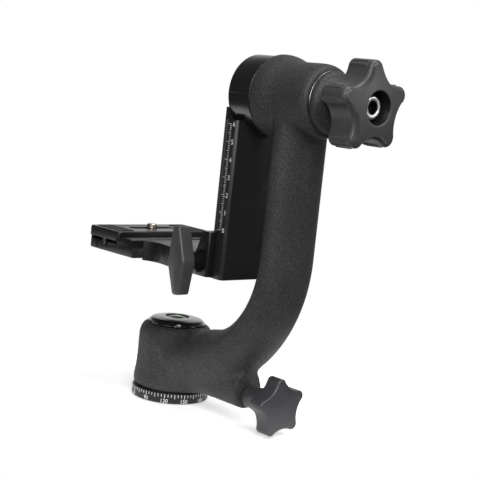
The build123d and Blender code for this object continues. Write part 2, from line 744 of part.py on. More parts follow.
# ================================================================ sliding platform
block_x1 = plate_x0 - 0.2
lip_x1 = 52.3
ridge_y = plate_half_y - groove_depth + 0.35
jaw_foot_x = 35.8
neck_z1 = neck_top


def clamp_profile(foot_x):
    """Side view of the clamp block: a leaning back face above a foot that reaches out to foot_x."""
    return [
        (foot_x, platform_z0),
        (block_x1, platform_z0),
        (block_x1, clamp_z1),
        (clamp_x0 + 3.7, clamp_z1),
        (clamp_x0 + 0.3, 99.5),
        (clamp_x0 - 2.2, neck_z1 + 0.6),
        (clamp_x0 - 4.5, neck_z1),
        (foot_x, neck_z1),
    ]


def lip_outline(side):
    """Plan view of the lip that reaches round the plate and its ridge in the V groove."""
    return [
        (block_x1 - 1, side * (plate_half_y + 0.3)),
        (groove_x - 0.95, side * (plate_half_y + 0.3)),
        (groove_x, side * ridge_y),
        (lip_x1, side * (plate_half_y + 0.25)),
        (lip_x1, side * (-jaw_y0 - 0.8)),
        (lip_x1 - 0.8, side * -jaw_y0),
        (block_x1 - 1, side * -jaw_y0),
    ]


with BuildPart() as platform_bracket:
    # clamp block with the fixed lip at +Y
    with BuildSketch(Plane.XZ.offset(-26.2)):
        with BuildLine():
            Polyline(*clamp_profile(30), close=True)
        make_face()
    extrude(amount=26.2 - jaw_y1 - 0.4)
    with BuildSketch(Plane.XY.offset(platform_z0)):
        with BuildLine():
            Polyline(*lip_outline(1), close=True)
        make_face()
    extrude(amount=clamp_z1 - platform_z0)
    # neck, narrower than the seat, with a concave waist
    with BuildSketch(Plane.XY.offset(platform_z0)):
        with BuildLine():
            Line((jaw_foot_x - 0.2, -neck_half_y), (jaw_foot_x - 0.2, neck_half_y))
            Line((jaw_foot_x - 0.2, neck_half_y), (22, neck_half_y))
            Spline(
                (22, neck_half_y),
                (8, neck_half_y - 1.6),
                (seat_x1, neck_half_y + 2.5),
                tangents=[(-1, 0), (-0.7, 0.7)],
            )
            Line((seat_x1, neck_half_y + 2.5), (seat_x1, -neck_half_y - 2.5))
            Spline(
                (seat_x1, -neck_half_y - 2.5),
                (8, -neck_half_y + 1.6),
                (22, -neck_half_y),
                tangents=[(0.7, 0.7), (1, 0)],
            )
            Line((22, -neck_half_y), (jaw_foot_x - 0.2, -neck_half_y))
        make_face()
    extrude(amount=neck_z1 - platform_z0)
    # seat of the quick-release clamp with the fixed jaw at its +X side
    with BuildSketch(Plane.XY.offset(platform_z0 + 1.2)):
        with Locations(((seat_x0 + seat_x1) / 2, 0)):
            RectangleRounded(seat_x1 - seat_x0, 2 * seat_half_y, 1.2)
    extrude(amount=seat_top - platform_z0 - 1.2)
    with BuildSketch(Plane.XZ.offset(-seat_half_y)):
        with BuildLine():
            Polyline(
                (cam_x + cam_half_x + 0.6, seat_top - 1),
                (cam_x + dove_half + 0.3, seat_top - 1),
                (cam_x + dove_half + 0.3, seat_top + 0.9),
                (cam_x + dove_neck + 0.7, cam_flange_z - 0.2),
                (cam_x + cam_half_x + 0.6, cam_flange_z - 0.2),
                (cam_x + cam_half_x + 0.6, neck_z1 - 0.6),
                (cam_x + cam_half_x + 1.2, neck_z1),
                (-7.6, neck_z1),
                (-7.0, neck_z1 - 0.6),
                (-7.0, seat_top - 1),
                close=True,
            )
        make_face()
    extrude(amount=2 * seat_half_y)
    # channels for the stop screws of the camera plate
    with BuildSketch(Plane.XY.offset(seat_top)):
        with Locations((cam_x, 26), (cam_x, -26)):
            Rectangle(6, 26)
    extrude(amount=-2.5, mode=Mode.SUBTRACT)
    # wing screw, guide pins and stop pin
    with BuildSketch(axis_y(wing_x, jaw_y1 - 1, wing_z)):
        Circle(3.0 + running)
    extrude(amount=-23, mode=Mode.SUBTRACT)
    with BuildSketch(axis_y(0, jaw_y1 - 1, 0)):
        with Locations(*[(jaw_pin_x, z) for z in jaw_pin_z]):
            Circle(1.5 + running)
    extrude(amount=-14, mode=Mode.SUBTRACT)
    with BuildSketch(axis_x(44.9, 0, stop_pin_z)):
        Circle(2.3)
    extrude(amount=10, mode=Mode.SUBTRACT)
    # screw and guide pins of the quick-release jaw
    with BuildSketch(axis_x(seat_x0 - 1, 0, qr_axis_z)):
        Circle(2.0 + running)
    extrude(amount=31, mode=Mode.SUBTRACT)
    with BuildSketch(axis_x(seat_x0 - 1, 0, qr_axis_z)):
        with Locations((-qr_pin_y, 0), (qr_pin_y, 0)):
            Circle(1.2 + running)
    extrude(amount=5, mode=Mode.SUBTRACT)
platform_bracket.part.label = "platform_bracket"
export_step(platform_bracket.part, "parts/platform_bracket.step")

with BuildPart() as slide_stop_pin:
    with BuildSketch(axis_x(45, 0, stop_pin_z)):
        Circle(2.3)
    extrude(amount=6.6)
slide_stop_pin.part.label = "slide_stop_pin"
export_step(slide_stop_pin.part, "parts/slide_stop_pin.step")

with BuildPart() as clamp_jaw:
    with BuildSketch(axis_y(0, jaw_y1, 0)):
        with BuildLine():
            Polyline(*clamp_profile(jaw_foot_x), close=True)
        make_face()
    extrude(amount=jaw_y1 - jaw_y0)
    with BuildSketch(Plane.XY.offset(platform_z0)):
        with BuildLine():
            Polyline(*lip_outline(-1), close=True)
        make_face()
    extrude(amount=clamp_z1 - platform_z0)
    with BuildSketch(axis_y(wing_x, jaw_y1 + 1, wing_z)):
        Circle(3.0 + running)
    extrude(amount=8, mode=Mode.SUBTRACT)
    with BuildSketch(axis_y(0, jaw_y1 + 1, 0)):
        with Locations(*[(jaw_pin_x, z) for z in jaw_pin_z]):
            Circle(1.5)
    extrude(amount=3.4, mode=Mode.SUBTRACT)
clamp_jaw.part.label = "clamp_jaw"
export_step(clamp_jaw.part, "parts/clamp_jaw.step")

with BuildPart() as jaw_guide_pins:
    with BuildSketch(axis_y(0, jaw_y1 - 2.4, 0)):
        with Locations(*[(jaw_pin_x, z) for z in jaw_pin_z]):
            Circle(1.5)
    extrude(amount=-14)
jaw_guide_pins.part.label = "jaw_guide_pins"
export_step(jaw_guide_pins.part, "parts/jaw_guide_pins.step")

wing_hub_y = jaw_y0 - 0.1
wing_back_y = -34.0
wing_front_y = -43.5
with BuildPart() as wing_knob:
    with BuildSketch(axis_y(wing_x, wing_hub_y, wing_z)):
        Circle(6.3)
    extrude(amount=wing_hub_y - wing_back_y + 1)
    with BuildSketch(axis_y(wing_x, wing_back_y, wing_z)):
        with BuildLine(Plane.XY.rotated((0, 0, 6))):
            Polyline(
                (-2.6, 19.8), (2.6, 19.8), (5.6, 7.0), (7.2, 0), (5.4, -7.0), (2.4, -18.4),
                (-2.4, -18.4), (-5.4, -7.0), (-7.2, 0), (-5.6, 7.0),
                close=True,
            )
        wing_face = make_face()
        fillet(wing_face.vertices(), 1.6)
    extrude(amount=wing_back_y - wing_front_y)
    chamfer(wing_knob.faces().sort_by(Axis.Y)[0].edges(), 0.8)
    with BuildSketch(axis_y(wing_x, wing_hub_y + 1, wing_z)):
        Circle(3.0)
    extrude(amount=13, mode=Mode.SUBTRACT)
wing_knob.part.label = "wing_knob"
export_step(wing_knob.part, "parts/wing_knob.step")

with BuildPart() as wing_screw:
    with BuildSketch(axis_y(wing_x, -1.5, wing_z)):
        Circle(3.0)
    extrude(amount=36)
    chamfer(wing_screw.edges().filter_by(GeomType.CIRCLE), 0.5)
wing_screw.part.label = "wing_screw"
export_step(wing_screw.part, "parts/wing_screw.step")

# ---------------------------------------------------------------- quick-release clamp
with BuildPart() as qr_jaw:
    with BuildSketch(Plane.XZ.offset(-seat_half_y)):
        with BuildLine():
            Polyline(
                (qr_jaw_x0 + 0.8, platform_z0 + 1.2),
                (seat_x0 - 0.3, platform_z0 + 1.2),
                (seat_x0 - 0.3, seat_top - 0.1),
                (cam_x - dove_half - 0.3, seat_top - 0.1),
                (cam_x - dove_half - 0.3, seat_top + 0.9),
                (cam_x - dove_neck - 0.9, cam_flange_z - 0.2),
                (qr_jaw_x0, cam_flange_z - 0.2),
                (qr_jaw_x0, platform_z0 + 2.0),
                close=True,
            )
        make_face()
    extrude(amount=2 * seat_half_y)
    with BuildSketch(axis_x(qr_jaw_x0 - 1, 0, qr_axis_z)):
        Circle(2.0 + running)
    extrude(amount=10, mode=Mode.SUBTRACT)
    with BuildSketch(axis_x(qr_jaw_x0 + 1.4, 0, qr_axis_z)):
        with Locations((-qr_pin_y, 0), (qr_pin_y, 0)):
            Circle(1.2)
    extrude(amount=8, mode=Mode.SUBTRACT)
qr_jaw.part.label = "qr_jaw"
export_step(qr_jaw.part, "parts/qr_jaw.step")

with BuildPart() as qr_guide_pins:
    with BuildSketch(axis_x(qr_jaw_x0 + 1.4, 0, qr_axis_z)):
        with Locations((-qr_pin_y, 0), (qr_pin_y, 0)):
            Circle(1.2)
    extrude(amount=8.4)
qr_guide_pins.part.label = "qr_guide_pins"
export_step(qr_guide_pins.part, "parts/qr_guide_pins.step")

qr_knob_x1 = qr_jaw_x0 - 0.1
qr_knob_x0 = qr_knob_x1 - 12.5
with BuildPart() as qr_knob:
    with BuildSketch(axis_x(qr_knob_x0, 0, qr_axis_z)):
        Circle(8.0)
        with PolarLocations(8.9, 8):
            Circle(1.7, mode=Mode.SUBTRACT)
    extrude(amount=8.5)
    chamfer(qr_knob.faces().sort_by(Axis.X)[0].edges(), 0.5)
    with BuildSketch(axis_x(qr_knob_x0 + 8, 0, qr_axis_z)):
        Circle(4.6)
    extrude(amount=4.5)
    with BuildSketch(axis_x(qr_knob_x0 + 1.6, 0, qr_axis_z)):
        Circle(2.0)
    extrude(amount=12, mode=Mode.SUBTRACT)
qr_knob.part.label = "qr_knob"
export_step(qr_knob.part, "parts/qr_knob.step")

with BuildPart() as qr_screw:
    with BuildSketch(axis_x(qr_knob_x0 + 1.6, 0, qr_axis_z)):
        Circle(2.0)
    extrude(amount=44)
qr_screw.part.label = "qr_screw"
export_step(qr_screw.part, "parts/qr_screw.step")

# ---------------------------------------------------------------- camera plate
slot_half = 14.0
with BuildPart() as camera_plate:
    with BuildSketch(Plane.XY.offset(cam_flange_z)):
        with Locations((cam_x, 0)):
            RectangleRounded(2 * cam_half_x, 2 * cam_half_y, 2.5)
    extrude(amount=cam_top - cam_flange_z)
    chamfer(camera_plate.faces().sort_by(Axis.Z)[-1].edges(), 0.7)
    with BuildSketch(Plane.XZ.offset(-33)):
        with BuildLine():
            Polyline(
                (cam_x - dove_half, cam_z0),
                (cam_x + dove_half, cam_z0),
                (cam_x + dove_half, cam_z0 + 0.6),
                (cam_x + dove_neck, cam_flange_z),
                (cam_x - dove_neck, cam_flange_z),
                (cam_x - dove_half, cam_z0 + 0.6),
                close=True,
            )
        make_face()
    extrude(amount=66)
    with BuildSketch(Plane.XY.offset(cam_z0 - 1)):
        with Locations((cam_x, 0)):
            SlotCenterToCenter(2 * slot_half, 6.9, rotation=90)
    extrude(amount=12, mode=Mode.SUBTRACT)
    with BuildSketch(Plane.XY.offset(cam_z0 - 1)):
        with Locations((cam_x, 0)):
            SlotCenterToCenter(2 * slot_half, 13, rotation=90)
    extrude(amount=4.4, mode=Mode.SUBTRACT)
    with BuildSketch(Plane.XY.offset(cam_flange_z)):
        with Locations((cam_x, 35.2), (cam_x, -35.2)):
            Circle(1.5)
    extrude(amount=3.0, mode=Mode.SUBTRACT)
    # shallow pockets of the two grip pads
    with BuildSketch(Plane.XY.offset(cam_top - 0.5)):
        with Locations((cam_x, 28), (cam_x, -28)):
            RectangleRounded(24, 11, 1.5)
    extrude(amount=2, mode=Mode.SUBTRACT)
camera_plate.part.label = "camera_plate"
export_step(camera_plate.part, "parts/camera_plate.step")

with BuildPart() as plate_grip_pads:
    with BuildSketch(Plane.XY.offset(cam_top - 0.5)):
        with Locations((cam_x, 28), (cam_x, -28)):
            RectangleRounded(24, 11, 1.5)
    extrude(amount=0.8)
plate_grip_pads.part.label = "plate_grip_pads"
export_step(plate_grip_pads.part, "parts/plate_grip_pads.step")

with BuildPart() as plate_stop_screws:
    with BuildSketch(Plane.XY.offset(cam_flange_z)):
        with Locations((cam_x, 35.2), (cam_x, -35.2)):
            Circle(1.5)
    extrude(amount=2.8)
    with BuildSketch(Plane.XY.offset(cam_flange_z)):
        with Locations((cam_x, 35.2), (cam_x, -35.2)):
            Circle(1.75)
    extrude(amount=-4.3)
    with BuildSketch(Plane.XY.offset(cam_flange_z - 4.3)):
        with Locations((cam_x, 35.2), (cam_x, -35.2)):
            RegularPolygon(0.9, 6)
    extrude(amount=1.4, mode=Mode.SUBTRACT)
plate_stop_screws.part.label = "plate_stop_screws"
export_step(plate_stop_screws.part, "parts/plate_stop_screws.step")

washer_z = cam_z0 + 2.5
with BuildPart() as screw_washer:
    with BuildSketch(Plane.XY.offset(washer_z)):
        with Locations((cam_x, 0)):
            Circle(6.0)
            Circle(3.2, mode=Mode.SUBTRACT)
    extrude(amount=0.8)
screw_washer.part.label = "screw_washer"
export_step(screw_washer.part, "parts/screw_washer.step")

with BuildPart() as camera_screw:
    with BuildSketch(Plane.XY.offset(cam_z0 + 0.3)):
        with Locations((cam_x, 0)):
            Circle(5.8)
    extrude(amount=washer_z - 0.05 - cam_z0 - 0.3)
    with BuildSketch(Plane.XY.offset(cam_z0 + 0.3)):
        with Locations((cam_x, 0)):
            Circle(camera_screw_r - 0.5)
    extrude(amount=cam_top + 1 - cam_z0 - 0.3)
    with BuildSketch(Plane.XY.offset(cam_top + 0.1)):
        with Locations((cam_x, 0)):
            Circle(camera_screw_r)
    extrude(amount=2.6)
    chamfer(camera_screw.edges().filter_by(GeomType.CIRCLE).sort_by(Axis.Z)[-1:], 0.5)
    with BuildSketch(Plane.XY.offset(cam_z0 + 0.3)):
        with Locations((cam_x, 0)):
            Rectangle(13, 1.4)
    extrude(amount=1.1, mode=Mode.SUBTRACT)
camera_screw.part.label = "camera_screw"
export_step(camera_screw.part, "parts/camera_screw.step")
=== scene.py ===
import bpy
import bmesh
import json
import math
import numpy as np
from mathutils import Matrix, Vector


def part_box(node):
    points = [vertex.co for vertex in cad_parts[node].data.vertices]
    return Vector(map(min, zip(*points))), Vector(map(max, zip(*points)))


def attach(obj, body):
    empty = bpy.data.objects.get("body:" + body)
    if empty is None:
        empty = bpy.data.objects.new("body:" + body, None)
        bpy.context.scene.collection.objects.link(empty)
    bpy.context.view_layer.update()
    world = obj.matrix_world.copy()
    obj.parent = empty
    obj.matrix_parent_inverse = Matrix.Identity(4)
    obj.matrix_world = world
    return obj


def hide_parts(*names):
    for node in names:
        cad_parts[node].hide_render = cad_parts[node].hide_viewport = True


# Looks of the gimbal tripod head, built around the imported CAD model.  Metres, in the CAD's own frame:
# origin at the tripod thread, +Z the pan axis, +X towards the J-arm's upright, Y along the lens.

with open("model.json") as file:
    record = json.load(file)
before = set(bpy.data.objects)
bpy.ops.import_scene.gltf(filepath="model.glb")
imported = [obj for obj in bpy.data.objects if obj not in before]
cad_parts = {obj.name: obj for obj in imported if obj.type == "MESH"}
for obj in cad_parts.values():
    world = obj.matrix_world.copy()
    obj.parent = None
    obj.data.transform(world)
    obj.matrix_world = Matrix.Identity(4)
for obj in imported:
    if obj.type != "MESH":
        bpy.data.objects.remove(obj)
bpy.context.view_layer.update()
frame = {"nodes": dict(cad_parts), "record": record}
MM = 0.001
nodes = frame["nodes"]


# ---------------- places read from the CAD model
def span(node, axis):
    """Lowest and highest coordinate of a CAD node along an axis, in millimetres."""
    low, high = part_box(node)
    return low[axis] / MM, high[axis] / MM


def middle(node, axis):
    low, high = span(node, axis)
    return (low + high) / 2


TILT_Z = middle("tilt_shaft", 2)
LOCK_Z = middle("pan_lock_screw", 2)
RING_R = span("base_plate", 0)[1]
HOUSING_Z0 = span("j_arm", 2)[0]
HOUSING_TOP = span("level_ring", 2)[0] - 1.4      # the level's ring stands this far above the housing
BOSS_X0 = span("swing_hub", 0)[1] + 0.6           # running gap between hub and boss
BOSS_X1 = span("tilt_washer", 0)[0] - 0.15        # gap between boss and washer
HEAD_R = span("swing_hub", 1)[1]                  # round head of the swing arm
PLATE_Y = 21.5                                    # half width of the swing arm below its head


# ---------------- material nodes
def ramp_node(tree, stops):
    """Colour ramp; stops are (position, value) with value a number or an RGB triple."""
    made = tree.nodes.new("ShaderNodeValToRGB")
    while len(made.color_ramp.elements) < len(stops):
        made.color_ramp.elements.new(0.5)
    for element, (position, value) in zip(made.color_ramp.elements, stops):
        element.position = position
        shade = value if isinstance(value, tuple) else (value, value, value)
        element.color = (*shade, 1)
    return made


class Shade:
    """A material and small helpers that add nodes to it."""

    def __init__(self, name, colour, metallic, roughness, specular=0.5, coat=0.0, coat_roughness=0.1):
        self.material = bpy.data.materials.new(name)
        self.material.use_nodes = True
        self.tree = self.material.node_tree
        self.shader = self.tree.nodes["Principled BSDF"]
        values = {"Base Color": (*colour, 1), "Metallic": metallic, "Roughness": roughness,
                  "Specular IOR Level": specular, "Coat Weight": coat, "Coat Roughness": coat_roughness}
        for socket, value in values.items():
            self.shader.inputs[socket].default_value = value
        self.place = self.node("ShaderNodeTexCoord").outputs["Object"]

    def node(self, kind, **values):
        """Adds a node of a kind and sets its own settings."""
        made = self.tree.nodes.new(kind)
        for name, value in values.items():
            setattr(made, name, value)
        return made

    def link(self, source, target):
        self.tree.links.new(source, target)

    def stretch(self, scale):
        """Object coordinates scaled along each axis, for grain that runs one way."""
        mapping = self.node("ShaderNodeMapping")
        mapping.inputs["Scale"].default_value = scale
        self.link(self.place, mapping.inputs["Vector"])
        return mapping.outputs["Vector"]

    def noise(self, size_mm, detail=3, rough=0.55, where=None):
        """Noise whose blobs are about size_mm across."""
        made = self.node("ShaderNodeTexNoise")
        made.inputs["Scale"].default_value = 1 / (size_mm * MM)
        made.inputs["Detail"].default_value = detail
        made.inputs["Roughness"].default_value = rough
        self.link(where or self.place, made.inputs["Vector"])
        return made.outputs["Fac"]

    def ramp(self, source, stops):
        """A source turned into the colours of a ramp."""
        made = ramp_node(self.tree, stops)
        self.link(source, made.inputs["Fac"])
        return made.outputs["Color"]

    def mix(self, factor, first, second, kind="MIX"):
        """Colour mix; each input is a socket, a number or an RGB triple."""
        made = self.node("ShaderNodeMix", data_type="RGBA", blend_type=kind)
        for number, value in ((0, factor), (6, first), (7, second)):
            socket = made.inputs[number]
            if isinstance(value, bpy.types.NodeSocket):
                self.link(value, socket)
            elif isinstance(value, tuple):
                socket.default_value = (*value, 1)
            else:
                socket.default_value = value
        return made.outputs[2]

    def edges(self, low, high):
        """1 on convex edges, 0 elsewhere; used for worn edges and for painted edge highlights."""
        pointiness = self.node("ShaderNodeNewGeometry").outputs["Pointiness"]
        return self.ramp(pointiness, [(low, 0.0), (high, 1.0)])

    def bump(self, height, distance_mm, strength=1.0, normal=None):
        """Normal of a bump map over another normal, if one is given."""
        made = self.node("ShaderNodeBump")
        made.inputs["Strength"].default_value = strength
        made.inputs["Distance"].default_value = distance_mm * MM
        self.link(height, made.inputs["Height"])
        if normal:
            self.link(normal, made.inputs["Normal"])
        return made.outputs["Normal"]

    def use(self, socket, source):
        """Links a source to an input of the surface shader."""
        self.link(source, self.shader.inputs[socket])


def textured_coat(name, depth):
    """Fine textured charcoal powder coat: a dense grain of brighter and darker specks."""
    s = Shade(name, (0.03, 0.03, 0.031), 0.0, 0.62, specular=0.32)
    grain = s.noise(0.7, detail=2, rough=0.6)
    coarse = s.noise(1.6, detail=3)
    cloud = s.noise(28, detail=2)
    dark, pale = (0.0278, 0.0258, 0.0279), (0.035, 0.0327, 0.0352)
    base = s.mix(s.ramp(cloud, [(0.3, 0.0), (0.7, 1.0)]), dark, pale)
    speck = s.ramp(grain, [(0.34, 1 - depth), (0.5, 1.0), (0.68, 1 + 1.3 * depth)])
    blotch = s.ramp(coarse, [(0.35, 0.9), (0.65, 1.1)])
    colour = s.mix(1.0, s.mix(1.0, base, speck, "MULTIPLY"), blotch, "MULTIPLY")
    s.use("Base Color", colour)
    s.use("Roughness", s.ramp(grain, [(0.3, 0.72), (0.7, 0.5)]))
    fine = s.bump(grain, 0.14, 0.5)
    s.use("Normal", s.bump(coarse, 0.18, 0.25, normal=fine))
    return s.material


def anodised(name, colour, roughness, specular, grain_scale, wear=0.035):
    """Black anodised aluminium: faint brush grain along one axis, slightly paler worn edges."""
    s = Shade(name, colour, 0.0, roughness, specular=specular)
    grain = s.noise(1.0, detail=4, rough=0.6, where=s.stretch(grain_scale))
    tone = s.ramp(s.noise(18, detail=3), [(0.3, 0.85), (0.7, 1.15)])
    base = s.mix(1.0, colour, tone, "MULTIPLY")
    s.use("Base Color", s.mix(s.edges(0.56, 0.72), base, (wear, wear, wear * 1.02)))
    s.use("Roughness", s.ramp(grain, [(0.25, roughness - 0.07), (0.75, roughness + 0.08)]))
    s.use("Normal", s.bump(grain, 0.02, 0.35))
    return s.material


def moulded(name, colour, roughness, specular):
    """Satin moulded nylon with a fine spark-eroded grain; its convex edges are painted lighter, partly finger
    wear and partly a painted edge highlight.
    """
    s = Shade(name, colour, 0.0, roughness, specular=specular)
    grain = s.noise(0.45, detail=2)
    swirl = s.noise(9, detail=3)
    base = s.mix(1.0, colour, s.ramp(swirl, [(0.3, 0.9), (0.7, 1.1)]), "MULTIPLY")
    # Lighter convex edges: finger wear together with a painted highlight along the edges.
    edge_wear_and_highlight = tuple(c * 1.5 for c in colour)
    s.use("Base Color", s.mix(s.edges(0.54, 0.66), base, edge_wear_and_highlight))
    s.use("Roughness", s.ramp(swirl, [(0.3, roughness - 0.05), (0.7, roughness + 0.06)]))
    s.use("Normal", s.bump(grain, 0.05, 0.35))
    return s.material


def bare_metal(name, colour, roughness, marks_mm=0.6):
    """Machined metal: fine tool marks, small roughness variation and faint smudges."""
    s = Shade(name, colour, 1.0, roughness)
    marks = s.noise(marks_mm, detail=3)
    smudge = s.noise(6, detail=4)
    s.use("Base Color", s.mix(1.0, colour, s.ramp(smudge, [(0.25, 0.82), (0.7, 1.05)]), "MULTIPLY"))
    s.use("Roughness", s.ramp(marks, [(0.3, roughness - 0.05), (0.7, roughness + 0.1)]))
    s.use("Normal", s.bump(marks, 0.01, 0.3))
    return s.material


def gloss_black():
    """Polished black with hairline scratches and a trace of dust."""
    roughness = 0.12
    s = Shade("gloss_black", (0.006, 0.006, 0.0065), 0.0, roughness, coat=0.4, coat_roughness=0.06)
    dust = s.noise(1.6, detail=5)
    s.use("Base Color", s.ramp(dust, [(0.5, (0.005, 0.005, 0.0055)), (0.8, (0.02, 0.02, 0.021))]))
    s.use("Roughness", s.ramp(dust, [(0.35, roughness), (0.8, roughness + 0.15)]))
    s.use("Normal", s.bump(s.noise(0.8, detail=3), 0.004, 0.3))
    return s.material


def nylon_white():
    """Off-white bearing nylon, a little cloudy."""
    s = Shade("nylon_white", (0.72, 0.7, 0.65), 0.0, 0.45, specular=0.4)
    cloud = s.noise(3, detail=3)
    s.use("Base Color", s.ramp(cloud, [(0.3, (0.66, 0.64, 0.58)), (0.7, (0.76, 0.74, 0.69))]))
    s.use("Normal", s.bump(s.noise(0.5), 0.02, 0.3))
    return s.material


def rubber():
    """Black rubber moulded with fine straight ribs."""
    s = Shade("rubber_pad", (0.02, 0.02, 0.02), 0.0, 0.75, specular=0.3)
    grain = s.noise(0.5, detail=3)
    s.use("Base Color", s.ramp(grain, [(0.3, (0.013, 0.013, 0.013)), (0.7, (0.03, 0.03, 0.03))]))
    ribs = s.node("ShaderNodeTexWave", wave_type="BANDS", bands_direction="X")
    rib_pitch = 1.4 * MM
    ribs.inputs["Scale"].default_value = 0.314 / rib_pitch       # the texture has a band every 0.314 units
    s.link(s.place, ribs.inputs["Vector"])
    s.use("Normal", s.bump(ribs.outputs["Fac"], 0.25, 0.8, normal=s.bump(grain, 0.05, 0.5)))
    return s.material


def print_white():
    """Screen-printed white ink, a little uneven."""
    s = Shade("print_white", (0.8, 0.8, 0.8), 0.0, 0.6, specular=0.3)
    patch = s.noise(0.5, detail=4)
    s.use("Base Color", s.ramp(patch, [(0.3, (0.55, 0.55, 0.55)), (0.55, (0.82, 0.82, 0.82))]))
    s.use("Roughness", s.ramp(patch, [(0.3, 0.7), (0.7, 0.5)]))
    return s.material


def bubble_vial():
    """Green vial: pale bubble in the middle, a black index circle round it."""
    s = Shade("bubble_vial", (0.05, 0.3, 0.1), 0.0, 0.12, specular=0.25)
    flat = s.node("ShaderNodeVectorMath", operation="MULTIPLY")
    flat.inputs[1].default_value = (1 / MM, 1 / MM, 0)
    s.link(s.place, flat.inputs[0])
    radius = s.node("ShaderNodeVectorMath", operation="LENGTH")
    s.link(flat.outputs["Vector"], radius.inputs[0])
    share = s.node("ShaderNodeMath", operation="DIVIDE")
    share.inputs[1].default_value = 5.0          # radius in millimetres at the ramp's end
    s.link(radius.outputs["Value"], share.inputs[0])
    pale, green, dark = (0.55, 0.68, 0.5), (0.03, 0.2, 0.06), (0.006, 0.02, 0.008)
    bubble = [(0.0, pale), (0.28, pale), (0.32, dark), (0.36, green)]
    index_circle = [(0.54, green), (0.57, dark), (0.63, dark), (0.66, green), (0.84, dark)]
    s.use("Base Color", s.ramp(share.outputs["Value"], bubble + index_circle))
    s.use("Roughness", s.ramp(s.noise(1.2, detail=3), [(0.3, 0.08), (0.7, 0.16)]))
    return s.material


def pale_ring():
    """Pale plastic ring round the level's lens."""
    s = Shade("pale_ring", (0.75, 0.77, 0.73), 0.0, 0.5, specular=0.4)
    cloud = s.noise(2.0, detail=3)
    s.use("Base Color", s.ramp(cloud, [(0.3, (0.68, 0.7, 0.66)), (0.7, (0.8, 0.82, 0.78))]))
    return s.material


def liquid_green():
    """Green spirit of the level, half clear."""
    s = Shade("liquid_green", (0.2, 0.62, 0.22), 0.0, 0.1, specular=0.5)
    cloud = s.noise(2.5, detail=2)
    s.use("Base Color", s.ramp(cloud, [(0.3, (0.16, 0.56, 0.2)), (0.7, (0.3, 0.7, 0.28))]))
    s.shader.inputs["Transmission Weight"].default_value = 0.35
    return s.material


COAT = textured_coat("powder_coat", 0.5)
ANODISED = anodised("anodised_black", (0.0095, 0.009, 0.0092), 0.26, 0.5, (1, 1, 0.05))
ARM_BLACK = anodised("arm_black", (0.013, 0.0124, 0.0127), 0.42, 0.36, (1, 1, 0.05), 0.013)
BRACKET = anodised("bracket_black", (0.0075, 0.0071, 0.0073), 0.36, 0.35, (0.06, 1, 1))
COLLAR = textured_coat("collar_coat", 0.55)
RING = anodised("ring_black", (0.0055, 0.0055, 0.006), 0.38, 0.4, (1, 1, 0.1))
PLATE = anodised("plate_grey", (0.0055, 0.0053, 0.0054), 0.34, 0.45, (1, 0.06, 1))
KNOB = moulded("knob_nylon", (0.050, 0.0475, 0.0505), 0.42, 0.42)
# Same nylon as the other knobs, made darker for the small pan knob: painted shade for the dimmer light it
# gets low on the head, plus a faint blue tint of its own.
PAN_KNOB_SHADED = moulded("pan_knob_nylon_shaded", (0.038, 0.037, 0.041), 0.4, 0.42)
# Near-black copy of the knob nylon: painted shade for the inside of the tilt knob's bolt well and for the hub
# behind the wing knob.
WELL_PAINTED_SHADE = moulded("knob_painted_shade", (0.005, 0.005, 0.0055), 0.4, 0.4)
GLOSS = gloss_black()
STEEL = bare_metal("machined_steel", (0.52, 0.52, 0.53), 0.28)
CHROME = bare_metal("chrome_plate", (0.82, 0.82, 0.83), 0.3, marks_mm=2.5)
WASHER = bare_metal("washer_steel", (0.11, 0.11, 0.115), 0.3)
# Near-black steel: painted shade for the inside of the tilt bolt's hex socket.
SOCKET_PAINTED_SHADE = bare_metal("socket_painted_shade", (0.05, 0.05, 0.052), 0.35)
SCREW = bare_metal("camera_screw_steel", (0.55, 0.5, 0.42), 0.3)
BEARING = bare_metal("bearing_steel", (0.6, 0.6, 0.62), 0.2)
BRASS = bare_metal("brass", (0.78, 0.55, 0.26), 0.25)
NYLON = nylon_white()
RUBBER = rubber()
INK = print_white()
VIAL = bubble_vial()
PALE_RING = pale_ring()
LIQUID = liquid_green()

SLOT_LOOK = {
    "base_black": RING, "coat_charcoal": COAT, "cap_black": GLOSS, "ring_dark": GLOSS,
    "vial_clear": VIAL, "liquid_green": LIQUID, "anodised_black": ANODISED, "collar_black": COLLAR,
    "bracket_black": BRACKET, "plate_grey": PLATE, "knob_grey": KNOB, "steel": STEEL, "chrome": CHROME,
    "bearing_steel": BEARING, "brass": BRASS, "nylon": NYLON, "rubber": RUBBER,
}
NODE_LOOK = {"tilt_washer": WASHER, "camera_screw": SCREW, "plate_stop_screws": WASHER}
slot_of = {entry["node"]: entry["material_slot"] for entry in frame["record"]["subparts"]}
for name, piece in nodes.items():
    look = NODE_LOOK.get(name, SLOT_LOOK[slot_of[name]])
    for place in piece.material_slots:
        place.material = look
    if not piece.material_slots:
        piece.data.materials.append(look)


# ---------------- mesh helpers
def add_object(name, data):
    """A new object in the scene."""
    made = bpy.data.objects.new(name, data)
    bpy.context.scene.collection.objects.link(made)
    return made


def mesh_piece(name, points, faces, material, sharp=None):
    """A mesh object from points in millimetres."""
    mesh = bpy.data.meshes.new(name)
    mesh.from_pydata([tuple(c * MM for c in p) for p in points], [], [tuple(f) for f in faces])
    mesh.validate()
    mesh.materials.append(material)
    piece = add_object(name, mesh)
    tidy_mesh(piece, sharp)
    return piece


def tidy_mesh(piece, sharp=None):
    """Outward normals and smooth shading that breaks at edges sharper than the angle in degrees."""
    work = bmesh.new()
    work.from_mesh(piece.data)
    bmesh.ops.recalc_face_normals(work, faces=work.faces)
    work.to_mesh(piece.data)
    work.free()
    piece.data.polygons.foreach_set("use_smooth", [True] * len(piece.data.polygons))
    if sharp:
        piece.data.set_sharp_from_angle(angle=math.radians(sharp))
    piece.data.update()


